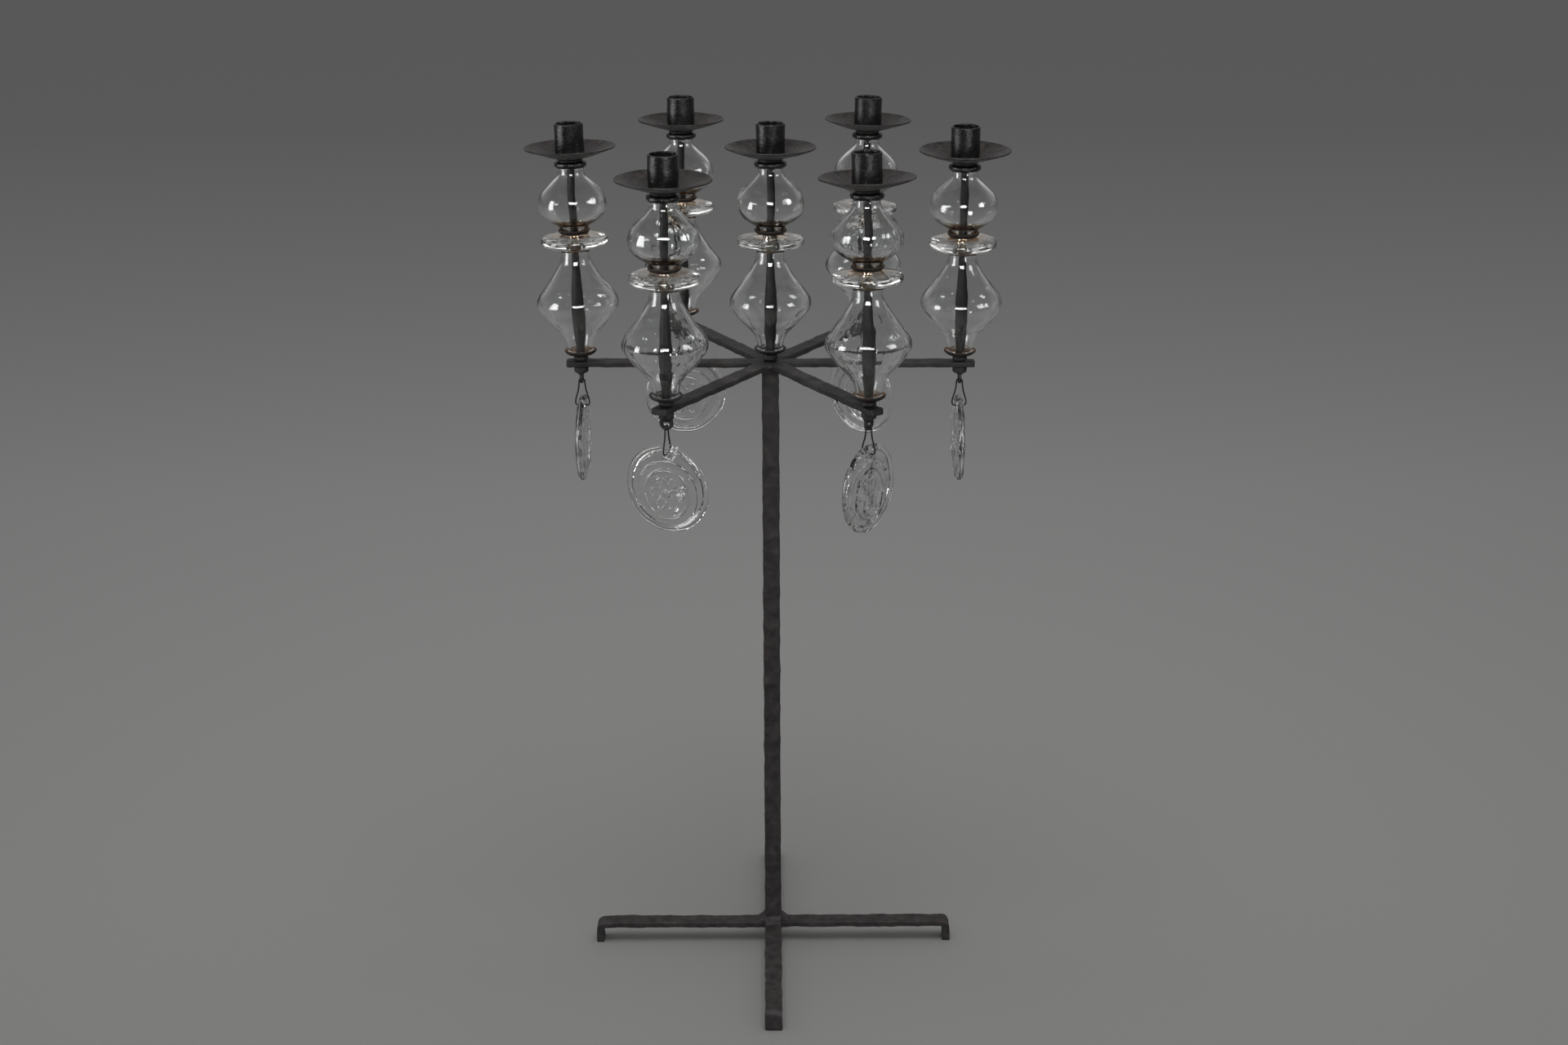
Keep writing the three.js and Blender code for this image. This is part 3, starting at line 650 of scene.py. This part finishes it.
def footWeldGrid():
    # A plus round the stem. Its arms reach half + fillet * (1 - rise)^hollow with rise going from 0 to 1, and
    # the corners between them are filled by (a^n + b^n)^(1/n) of the radii of the two crossing bars.
    look, level, n = footWeld, footWeld["levelRows"], footWeld["round"]
    top = baseBar["clearance"] + baseBar["thickness"]
    rise = np.append(np.zeros(level), 1 - np.cos(np.linspace(0, math.pi / 2, look["rows"] - level)))
    height = np.linspace(look["low"], top - look["levelDrop"], level)
    height = np.append(height, top + look["high"] * rise[level:])
    reach = look["half"] - look["inset"] + look["fillet"] * (1 - rise[:, None]) ** look["hollow"]
    angle = ringAngles(look["columns"])
    across, along = np.maximum(np.abs(np.cos(angle)), 1e-6), np.maximum(np.abs(np.sin(angle)), 1e-6)
    sideways = np.minimum(reach / across, look["half"] / along)
    lengthways = np.minimum(reach / along, look["half"] / across)
    return roundZ((sideways ** n + lengthways ** n) ** (1 / n) * look["trim"], angle, height[:, None])


headWeld = {"line": [(6, 879.7), (18, 879.6), (24.5, 879.3), (26.8, 878.2), (27.3, 876), (26.6, 873.6),
                     (24, 872.3), (15, 872), (6, 872)], "curveRows": 80, "rows": 60, "columns": 72}
weldSurface = {"dentSize": 9.0, "dentDepth": 0.5, "swaySize": 14.0, "sway": 0.6}
headSurface = {"dentSize": 10.0, "dentDepth": 0.3, "swaySize": 18.0, "sway": 0.3}

grid, dent = hammered(footWeldGrid(), weldSurface, 14)
addPiece("footWeld", grid, stemIron, ["stem"], values=dent)
headLine = evenly(smoothCurve(headWeld["line"], headWeld["curveRows"]), headWeld["rows"])
grid, dent = hammered(turnedGrid(headLine, headWeld["columns"]), headSurface, 15)
addPiece("headWeld", grid, forgedIron, ["stem"], values=dent)

starMiddle = [0, 0, starBars["top"] - starBars["thickness"] / 2]
for letter, turn in (("a", 0), ("b", 60), ("c", 120)):
    grid, dent = hammered(armGrid(), forgedSurface, 20 + turn)
    addPiece("arm_" + letter, grid, forgedIron, ["arm_bar_" + letter],
             place=(turnedBy(turn + starBars["turn"]), starMiddle), values=dent)
print("base, stem and star made")


armReach = 256.0
# The turn of a unit's arm, its lean towards +X and +Y, the twist of its pendant, how much shorter its lower
# glass is, how much its saucer is raised, how rusty its iron is, how much its disc is a puck and not a lens,
# and how deep the dents in that disc are.
unitBasis = {"turn": 0, "twist": 0, "shorter": 0, "raised": 0}
units = {
    "right": {"lean": (0.1, -1.5), "twist": 2, "shorter": 3, "rust": 1.0, "puck": 1.0, "wavy": 0.4},
    "back_right": {"turn": 60, "lean": (1.3, 0.2), "twist": -10, "rust": 0.5, "puck": 0.5, "wavy": 0.15},
    "back_left": {"turn": 120, "lean": (0, 0.6), "twist": -25, "rust": 1.0, "puck": 0.8, "wavy": 0.12},
    "left": {"turn": 180, "lean": (-1.3, 0.5), "twist": -2, "rust": 1.0, "puck": 1.0, "wavy": 0.25},
    "front_left": {"turn": 240, "lean": (0.4, -1.0), "twist": 5, "rust": 0.7, "puck": 1.0, "wavy": 0.1},
    "front_right": {"turn": 300, "lean": (-0.9, 1.5), "twist": 27, "rust": 1.0, "puck": 0.6, "wavy": 0.3},
    "centre": {"lean": (0.3, 0), "raised": 2.7, "rust": 0.5, "puck": 0.0, "wavy": 0.15},
}
units = {name: {**unitBasis, **unit} for name, unit in units.items()}


def unitPoint(name):
    if name == "centre":
        return np.array([0, 0, starBars["top"]])
    angle = math.radians(units[name]["turn"] + starBars["turn"])
    return np.array([armReach * math.cos(angle), armReach * math.sin(angle), starBars["top"]])


def unitPlace(name):
    # Leans towards +X first, then towards +Y, and stands on the arm.
    leanX, leanY = (math.radians(v) for v in units[name]["lean"])
    cosX, sinX, cosY, sinY = math.cos(leanX), math.sin(leanX), math.cos(leanY), math.sin(leanY)
    aboutY = np.array([[cosX, 0, sinX], [0, 1, 0], [-sinX, 0, cosX]])
    aboutX = np.array([[1, 0, 0], [0, cosY, sinY], [0, -sinY, cosY]])
    return aboutX @ aboutY, unitPoint(name)


# Heights above the arm, from the boss up.
stack = {"boss": 0.3, "saucer": 7.0, "lowerGlass": 13.96, "washer": 151.06, "disc": 153.36, "bush": 153.36,
         "dish": 173.96, "upperGlass": 175.76, "collar": 262.26, "pan": 274.76, "socket": 276.76}


def heightOf(label, name):
    # A raised saucer lifts its glass, and what stands on a shorter lower glass stands lower.
    if label in ("saucer", "lowerGlass"):
        return stack[label] + units[name]["raised"]
    return stack[label] - (units[name]["shorter"] if stack[label] > stack["lowerGlass"] else 0)


boss = {"radius": 9.85, "height": 6.7, "edge": 1.5}
saucer = [(0, 0.2), (9.2, 0), (12.5, 0.7), (16.4, 2.1), (19.6, 4.0), (21.3, 6.0), (21.6, 7.4), (20.9, 8.5),
          (19.9, 8.3), (18.4, 6.9), (14, 4.9), (9, 2.8), (4, 2.1), (0, 2.0)]
rod = {"rows": 150, "columns": 28, "square": 0.24, "bends": [(25, 115, 0.9), (185, 75, 1.6)],
       "shape": [(4.9, 1), (5.6, 14), (7.3, 30), (8.0, 46), (8.0, 62), (7.6, 80), (6.6, 98), (5.2, 116),
                 (4.9, 128), (4.7, 168), (4.9, 186), (5.2, 205), (5.0, 230), (4.8, 250), (4.9, 264)]}
lowerGlass = {
    "outer": [(17.5, 0.4), (18.0, 7), (19.3, 14.5), (22.4, 20.6), (27.9, 28), (35.2, 35.6), (41.8, 43),
              (47.2, 50.6), (52.2, 58), (54.7, 64.5), (54.2, 70.5), (51.0, 77), (45.0, 85.4), (37.9, 94.6),
              (31.4, 104), (26.0, 112.9), (21.7, 121.2), (19.3, 129.4), (18.8, 136.6)],
    "wall": [4.6, 4.4, 4.2, 4.0, 3.8, 3.6, 3.5, 3.4, 3.4, 3.3, 3.2, 3.0, 2.9, 2.9, 3.0, 3.1, 3.2, 3.2, 3.2],
    "keel": 64.5, "neckFrom": 85, "rows": 74, "seed": 60, "twist": 0.03,
    "grooves": {"front_left": 0.8, "front_right": 0.5}}
upperGlass = {
    "outer": [(17.5, 0.2), (17.8, 3.0), (18.6, 5.8), (21.6, 9.0), (28.8, 13.6), (37.4, 20.0), (42.9, 27.1),
              (45.1, 34.6), (44.9, 41.6), (42.9, 48.7), (38.7, 56.0), (31.9, 63.1), (24.4, 70.0),
              (18.9, 76.1), (17.2, 81.1), (16.8, 86.0)],
    "wall": [4.0, 4.2, 4.1, 3.8, 3.3, 3.0, 2.8, 2.7, 2.6, 2.6, 2.6, 2.6, 2.8, 3.0, 3.1, 3.1],
    "rows": 56, "seed": 70, "twist": 0.0, "grooves": {"front_right": 1.0, "front_left": 0.28}}
discLens = [(7.9, 0.2), (18, 0.2), (27, 1.8), (35.5, 3.6), (41.2, 5.2), (44, 7.2), (44.8, 9.6), (44.7, 12.2),
            (43.6, 14.4), (40.5, 15.8), (35.5, 16.8), (27, 18.5), (18, 20.1), (7.9, 20.1)]
discPuck = [(7.9, 0.2), (19, 0.2), (28, 1.8), (36, 3.7), (41.4, 5.4), (44, 7.4), (44.8, 9.8), (44.8, 12.2),
            (43.9, 14.9), (41.2, 17.2), (36, 18.7), (29, 19.7), (20, 20.1), (7.9, 20.1)]
washer = [(5.4, 0.1), (19.4, 0), (20.9, 0.6), (20.9, 1.5), (19.6, 2), (5.4, 2)]
dish = [(5.3, 0), (12, 0), (16.8, 0.1), (18.9, 0.9), (20.6, 2.8), (21.4, 4.5), (21.4, 5.6), (20.7, 6.0),
        (20.1, 5.5), (19.6, 4.0), (19.0, 2.5), (18.2, 1.6), (13, 1.5), (9, 1.5), (5.3, 1.5)]
bush = [(5.6, -0.2), (7.6, -0.2), (7.6, 20.5), (5.6, 20.5)]
collar = [(5.4, 0.4), (16, 0.1), (19.2, 0.3), (21, 1.8), (21.5, 4.2), (21, 6.6), (19.2, 8.4), (16.4, 9.2),
          (5.4, 9.2)]
pan = [(0, -5), (10, -5), (15.4, -5), (16, -4.2), (16.4, -1.4), (18, -0.2), (24, 1.2), (36, 4.6), (50, 9.3),
       (58.4, 12.3), (60.2, 13.0), (60.6, 14.0), (60.3, 15.0), (59.4, 15.3), (58.2, 14.8), (50, 11.4),
       (36, 6.8), (24, 3.3), (18, 2.1), (0, 2.0)]
socket = [(19.1, -0.3), (19.1, 43), (18.6, 43.5), (17.5, 43.5), (17, 43), (17, -0.3)]
lip = {"rows": 9, "bulge": 0.45}


def glassProfile(look, unit):
    # The outer line, a round lip, the inner line moved in by the wall's thickness, and another round lip.
    # A lower glass can be shorter in its neck, and below its keel by as much as its foot is raised.
    outer = np.array(look["outer"], float)
    if "neckFrom" in look:
        overNeck = np.clip((outer[:, 1] - look["neckFrom"]) / (outer[-1, 1] - look["neckFrom"]), 0, 1)
        outer[:, 1] -= unit["shorter"] * overNeck + unit["raised"] * np.clip(outer[:, 1] / look["keel"], 0, 1)
    along = np.gradient(outer, axis=0)
    along /= np.linalg.norm(along, axis=1, keepdims=True)
    inward = np.stack([-along[:, 1], along[:, 0]], axis=1)
    inner = outer + inward * np.array(look["wall"])[:, None]
    inner[[0, -1], 1] = outer[[0, -1], 1]
    outerLine, innerLine = smoothCurve(outer, look["rows"]), smoothCurve(inner, look["rows"])[::-1]
    turn = np.linspace(0, math.pi, lip["rows"])[1:-1]

    def lipLine(start, end, out):
        middle, half = (start + end) / 2, (end - start) / 2
        bulge = np.array([0, out]) * np.linalg.norm(half) * lip["bulge"]
        return middle - half * np.cos(turn)[:, None] + bulge * np.sin(turn)[:, None]

    return np.vstack([outerLine, lipLine(outerLine[-1], innerLine[0], 1), innerLine,
                      lipLine(innerLine[-1], outerLine[0], -1)])


blown = {"columns": 120, "unevenSize": 24.0, "uneven": 0.2, "neck": 20, "belly": 18,
         "count": 17, "width": 0.2, "plainDepth": 0.14, "fadeSize": 60.0, "fade": 0.5}


def blownGrid(look, name, seed):
    # Radius and height of the profile, with the radius moved by slow waves and by grooves that climb the
    # glass, each a bell curve of sin(count * angle / 2 + twist * height). The necks stay as they are.
    grid = turnedGrid(glassProfile(look, units[name]), blown["columns"])
    angle = np.arctan2(grid[..., 1], grid[..., 0])
    radius = np.hypot(grid[..., 0], grid[..., 1])
    belly = np.clip((radius - blown["neck"]) / blown["belly"], 0, 1)
    phase = blown["count"] / 2 * angle + look["twist"] * grid[..., 2]
    depth = look["grooves"].get(name, blown["plainDepth"]) * bell(np.sin(phase), 0, blown["width"])
    fade = 1 + blown["fade"] * waves(grid, blown["fadeSize"], seed + 1)
    move = blown["uneven"] * waves(grid, blown["unevenSize"], seed) - depth * fade
    scale = 1 + belly * move / np.maximum(radius, 1)
    grid[..., 0] *= scale
    grid[..., 1] *= scale
    return grid


rodSurface = {"dentSize": 9.0, "dentDepth": 0.5, "swaySize": 30.0, "sway": 0.25}


def rodGrid(seed):
    # A squarish bar: radius * (1 + square * cos 4a / 4), swelling in the lower glass. Two bends move it aside
    # by far * sin^2 over their length.
    profile = smoothCurve(rod["shape"], rod["rows"])
    angle = ringAngles(rod["columns"]) + seed
    radius = profile[:, :1] * (1 + rod["square"] / 4 * np.cos(4 * angle))
    height = profile[:, 1:] + stack["saucer"]
    aside = sum(np.sin(np.clip((height - low) / length, 0, 1) * math.pi) ** 2 * far
                for low, length, far in rod["bends"])
    grid = roundZ(radius, angle, height)
    grid[..., 0] += aside * math.cos(seed)
    grid[..., 1] += aside * math.sin(seed)
    return hammered(grid, rodSurface, seed)


turnedIron = {"dentSize": 7.0, "dentDepth": 0.35, "swaySize": 26.0, "sway": 0.35}
sheetIron = {"dentSize": 9.0, "dentDepth": 0.22, "swaySize": 40.0, "sway": 0.5}
tubeIron = {"dentSize": 6.0, "dentDepth": 0.16, "swaySize": 30.0, "sway": 0.25}
discSurface = {"dentSize": 17.0, "swaySize": 36.0, "sway": 0.35}

# Where rust is painted brighter as painted light, and how far the rust stain reaches on the glass disc.
rustStainAndPaintedLight = {"sharp": 2.2, "from": 0.4, "reach": 20.8, "blend": 0.8, "under": 17, "underBlend": 1.5,
              "underMost": 0.8, "least": 0.45, "most": {"saucer": 0.85}, "stainReach": 40, "stainBlend": 12}


def rustAndPaintedLightShare(label, grid, ringRows, rust):
    # Rust, painted brighter as painted light to lift the shade it sits in: on the upper side inside the rim,
    # and on all that faces the glass disc from within.
    look, normal = rustStainAndPaintedLight, gridNormals(grid, ringRows)
    radius = np.hypot(grid[..., 0], grid[..., 1])
    inward = -(normal[..., 0] * grid[..., 0] + normal[..., 1] * grid[..., 1]) / np.maximum(radius, 1)
    facing = np.clip(np.maximum(normal[..., 2], inward) * look["sharp"] - look["from"], 0, 1)
    facing = facing * np.clip((look["reach"] - radius) / look["blend"], 0, 1) * rust
    # Painted highlight: the dish's underside near the rod, which faces the disc below, gets the bright rust
    # too.
    if label == "dish":
        under = np.clip(-normal[..., 2] * look["sharp"] - look["from"], 0, 1)
        within = np.clip((look["under"] - radius) / look["underBlend"], 0, look["underMost"])
        facing = np.maximum(facing, under * within)
    return look["least"] + (look["most"].get(label, 1.0) - look["least"]) * facing


panLay = {"round": 6, "apart": 7, "outwards": 16}


def layOf(grid, seed):
    # Pattern place on a turned sheet: quick round the axis and slow outwards, so that a pattern runs in rays.
    radius = np.hypot(grid[..., 0], grid[..., 1])
    angle = np.arctan2(grid[..., 1], grid[..., 0])
    wide, apart = panLay["round"], panLay["apart"] * seed
    return np.stack([wide * np.cos(angle) + apart, wide * np.sin(angle), radius / panLay["outwards"]], axis=2)


# Rows, columns, seed, node and surface of each turned piece.
turnedPieces = {
    "boss": (26, 40, 40, "spindle_", turnedIron), "saucer": (60, 64, 50, "spindle_", turnedIron),
    "washer": (40, 64, 80, "disc_ferrule_", turnedIron), "dish": (60, 64, 90, "disc_ferrule_", turnedIron),
    "bush": (40, 48, 95, "disc_ferrule_", turnedIron), "disc": (70, 120, 100, "glass_disc_", discSurface),
    "collar": (60, 72, 110, "candle_cup_", turnedIron), "pan": (100, 96, 120, "candle_cup_", sheetIron),
    "socket": (100, 72, 130, "candle_cup_", tubeIron)}
discHoleRows = 12


def addTurned(label, k, name, points, look):
    # A piece with a hole has a closed line. One that reaches the axis leaves out its two points there.
    rows, columns, seed, node, surface = turnedPieces[label]
    unit, points = units[name], np.array(points, float)
    ringRows = points[0, 0] > 0
    if label == "disc":
        line = np.vstack([smoothCurve(points, rows), evenly(points[[-1, 0]], discHoleRows)[1:-1]])
        surface = {**surface, "dentDepth": unit["wavy"]}
    elif ringRows:
        line = evenly(np.vstack([points, points[:1]]), rows)[:-1]
    else:
        line = (evenly if label == "boss" else smoothCurve)(points, rows)[1:-1]
    grid = turnedGrid(line, columns)
    lay = layOf(grid, k) if label == "pan" else None
    grid[..., 2] += heightOf(label, name)
    grid, values = hammered(grid, surface, k + seed, ringRows)
    if look[1] == "rusty_iron":
        values = rustAndPaintedLightShare(label, grid, ringRows, unit["rust"])
    if look is thickGlass:
        radius = np.hypot(grid[..., 0], grid[..., 1])
        values = np.clip((rustStainAndPaintedLight["stainReach"] - radius) / rustStainAndPaintedLight["stainBlend"], 0, 1) * unit["rust"]
    place = (np.eye(3), unitPoint(name)) if label == "boss" else unitPlace(name)
    addPiece(label + "_" + name, grid, look, [node + name], ringRows, place, values, lay)


rustyFrom = 0.8
glasses = {"lowerGlass": (lowerGlass, "lower_glass_"), "upperGlass": (upperGlass, "upper_glass_")}

for k, (name, unit) in enumerate(units.items()):
    edge, wide, high = boss["edge"], boss["radius"], boss["height"] + unit["raised"]
    line = [(0, 0), (wide - edge, 0), (wide, edge), (wide, high - edge), (wide - edge, high), (0, high)]
    addTurned("boss", k, name, line, forgedIron)
    addTurned("saucer", k, name, saucer, rustAndPaintedLightIron if unit["rust"] > rustyFrom else forgedIron)
    place = unitPlace(name)
    grid, dent = rodGrid(k + 1)
    addPiece("rod_" + name, grid, rodPaintedShadeIron, ["spindle_" + name], place=place, values=dent)
    for label, (look, node) in glasses.items():
        grid = blownGrid(look, name, k + look["seed"])
        grid[..., 2] += heightOf(label, name)
        addPiece(label + "_" + name, grid, clearGlass, [node + name], True, place)
    addTurned("washer", k, name, washer, rustAndPaintedLightIron)
    addTurned("dish", k, name, dish, rustAndPaintedLightIron)
    addTurned("bush", k, name, bush, bushIron)
    disc = (1 - unit["puck"]) * np.array(discLens) + unit["puck"] * np.array(discPuck)
    addTurned("disc", k, name, disc, thickGlass)
    addTurned("collar", k, name, collar, blackIron)
    addTurned("pan", k, name, pan, panIron)
    addTurned("socket", k, name, socket, blackIron)
print("candle units made")


# Half widths front to back and from side to side, and the height under the arm's upper side.
block = {"line": [(8.6, 8.6, -8.3), (9.4, 9.4, -8.3), (9.75, 9.75, -9.2), (9.75, 9.75, -12),
                  (9.5, 9.7, -15.2), (8.6, 9.4, -16.0), (5.4, 9.0, -17.6), (3.2, 8.2, -19.4),
                  (2.1, 6.6, -21.4)],
         "rows": 44, "columns": 40}


def blockGrid():
    # Round at the top, then flattened: each section is an ellipse whose two half widths follow the height.
    deep, wide, height = smoothCurve(block["line"], block["rows"]).T[..., None]
    angle = ringAngles(block["columns"])
    return np.stack([deep * np.cos(angle), wide * np.sin(angle), height + 0 * angle], axis=2)


eye = {"bottom": -32, "width": 18.5, "thick": 4.2, "holeWidth": 10, "holeHeight": 7.6, "barHeight": 4,
       "edge": 0.42, "rows": 72, "columns": 28}


def eyeGrid():
    # At each angle round the hole, a squarish section from the hole's ellipse out to the eye's round outline.
    angle = ringAngles(eye["rows"])
    half, wide, high = eye["width"] / 2, eye["holeWidth"] / 2, eye["holeHeight"] / 2
    inner = arc(angle, 0, eye["bottom"] + eye["barHeight"] + high, wide, high)
    outer = arc(angle, 0, eye["bottom"] + half, half)
    ring = roundedRectangle(eye["thick"], 1, eye["edge"], eye["columns"])
    middle, reach = (inner + outer) / 2, outer - inner
    grid = np.empty((eye["rows"], eye["columns"], 3))
    grid[..., 0] = ring[:, 0]
    grid[..., 1] = middle[:, :1] + reach[:, :1] * ring[:, 1]
    grid[..., 2] = middle[:, 1:] + reach[:, 1:] * ring[:, 1]
    return grid


wire = {"radius": 1.05, "bend": 3.95, "legOut": 9.25, "drop": 33, "hook": 3, "end": 1.3, "hinge": -30,
        "leg": [(3.95, -1.5), (5.35, -12), (9.05, -25)], "rows": 150, "columns": 14,
        "bendRows": 15, "hookRows": 9}


def hangerGrid():
    # Up one leg, over the eye's bar in a half circle, down the other leg, with both ends hooked inwards.
    turn = np.linspace(math.pi, 0, wire["bendRows"])
    over = arc(turn, 0, 0, wire["bend"])
    turn = np.linspace(0, -math.pi / 2, wire["hookRows"])
    hook = arc(turn, wire["legOut"] - wire["hook"], wire["hook"] - wire["drop"], wire["hook"])
    leg = np.vstack([wire["leg"], hook, [wire["end"], -wire["drop"]]])
    line = smoothCurve(np.vstack([leg[::-1] * [-1, 1], over[1:-1], leg]), wire["rows"])
    path = np.stack([line[:, 0], 0 * line[:, 0], line[:, 1]], axis=1)
    section = arc(ringAngles(wire["columns"]), 0, 0, wire["radius"])
    return sweptGrid(path, section, np.array([0.0, 1.0, 0.0]))


medallion = {
    "radius": 59.4, "uneven": 1.3, "nicks": 0.12, "middle": 58.5, "hole": 3.5, "holeInset": 14.5,
    "holeDrop": 35.15, "columns": 200, "rings": 118, "gather": 0.7, "spread": 0.9, "guess": 50.0, "tries": 40,
    "field": 4.6, "thinnest": 0.10, "rim": (0.92, 0.08), "bank": (0.93, 0.06, 1.5), "holeBank": (3.0, 0.7),
    "ring": (43.5, 0.9, 0.9), "ringDrop": 7.5, "petalFrom": 5, "petalLong": 19, "petalPower": 0.7,
    "petalLine": (1.0, 2.3), "innerRing": (32, 1.1, 2.2), "boss": (4.5, -0.8, 1.9), "rimCalm": 0.15,
    "rough": {"front_left": 0.8, "front_right": 2.2, "left": 1.6, "right": 1.6, "back_left": 0.8,
              "back_right": 0.8}}
# How far waves, slow waves and bowls move the surface, each with its size, and what share of that the side
# with the relief and the plain side take.
medallionSurface = {"moves": (0.09, 6.0, 0.45, 26.0, 0.35, 13.0), "front": 0.6, "back": 0.7}


def medallionGrid(name, seed):
    # Rings round the hole grow into the uneven outline. Thickness follows the distance from the middle.
    look = medallion
    middle = -look["holeDrop"] + look["holeInset"] - look["middle"]
    holeAt = -look["holeDrop"] - middle
    along = np.linspace(-math.pi, math.pi, look["columns"], endpoint=False)
    angle = -math.pi / 2 + along - look["gather"] * np.sin(along)

    def outline(a):
        slow = sum(math.sin(seed * 3.1 + n) * np.cos(n * a + seed * n) / n for n in (2, 3, 4, 5))
        quick = sum(np.cos(n * a + seed * n * n) for n in (9, 13, 16))
        return look["radius"] + look["uneven"] * (slow - 0.4) * 0.8 + look["nicks"] * (quick - 3)

    direction = arc(angle)
    reach = np.full(len(angle), look["guess"])
    for _ in range(look["tries"]):
        point = direction * reach[:, None] + [0, holeAt]
        away = np.hypot(point[:, 0], point[:, 1])
        reach += outline(np.arctan2(point[:, 1], point[:, 0])) - away
    share = np.linspace(0, 1, look["rings"]) ** look["spread"]
    distance = look["hole"] + (reach[None] - look["hole"]) * share[:, None]
    y = direction[:, 0] * distance
    z = direction[:, 1] * distance + holeAt
    a = np.arctan2(z, y)
    r = np.hypot(y, z) / outline(a)
    rimFrom, rimWidth = look["rim"]
    edge = np.sqrt(np.clip(1 - np.clip((r - rimFrom) / rimWidth, 0, 1) ** 2, 0, 1))
    inRadius = np.hypot(y, z + look["ringDrop"])
    inAngle = np.arctan2(z + look["ringDrop"], y)
    # Half the thickness: a thin field inside a ring, a bank along the rim, a round edge, a bank at the hole.
    half = look["field"] / 2 + ledge(inRadius, *look["ring"]) + bell(r, *look["bank"])
    half = half * (look["thinnest"] + (1 - look["thinnest"]) * edge)
    half = half + bell(distance, look["hole"], *look["holeBank"])
    # The pressed side: six petals round a boss, drawn as a raised line, inside a raised ring.
    petalEnd = look["petalLong"] * np.abs(np.cos(3 * inAngle)) ** look["petalPower"]
    relief = bell(inRadius - look["petalFrom"], petalEnd, *look["petalLine"])
    relief = relief + bell(inRadius, *look["innerRing"]) + ledge(inRadius, *look["boss"])
    # Slow waves, and crumbs that grow towards the rim on one side and in an upright stripe inside the ring.
    points = np.stack([0 * y, y, z], axis=2)
    stripe = np.exp(-((y - 19) / 4.5) ** 2 - ((z + 9) / 17) ** 4)
    crumbs = np.clip(r * 2.4 - 1.4, 0, 1) * (0.5 + 0.5 * np.cos(a - 0.3 + 0.6 * seed))
    crumbs = look["rough"][name] * (0.25 + crumbs + 1.6 * stripe)
    small, smallSize, slow, slowSize, bowl, bowlSize = medallionSurface["moves"]
    rough = small * crumbs * waves(points, smallSize, seed)
    rough = rough + slow * look["rough"][name] ** 0.5 * waves(points, slowSize, seed + 1)
    rough = rough + bowl * crumbs * (bowls(points, bowlSize, seed) - 0.5)
    calm = look["rimCalm"] + (1 - look["rimCalm"]) * edge
    front = half + (relief + medallionSurface["front"] * rough) * calm
    back = half + medallionSurface["back"] * rough * calm
    frontFace = np.stack([front, y, z + middle], axis=2)
    backFace = np.stack([-back, y, z + middle], axis=2)[::-1]
    return np.vstack([frontFace, backFace])


eyeSurface = {"dentSize": 6.0, "dentDepth": 0.3, "swaySize": 18.0, "sway": 0.12}
eyeSeed = 140


for k, (name, unit) in enumerate(units.items()):
    if name == "centre":
        continue
    facing = turnedBy(unit["turn"] + starBars["turn"] + unit["twist"])
    for label, grid, ringRows in (("block", blockGrid(), False), ("eye", eyeGrid(), True)):
        grid, dent = hammered(grid, eyeSurface, k + eyeSeed, ringRows)
        addPiece(label + "_" + name, grid, forgedIron, ["spindle_" + name], ringRows,
                 (facing, unitPoint(name)), dent)
    hang = (facing, unitPoint(name) + [0, 0, wire["hinge"]])
    wireNode, medallionNode = "hanger_" + name, "medallion_" + name
    addPiece("hangerWire_" + name, hangerGrid(), wireIron, [wireNode], place=hang, body=wireNode)
    addPiece("glassMedallion_" + name, medallionGrid(name, k + 1), pressedGlass, [medallionNode], True, hang,
             body=medallionNode)
print("pendants made")
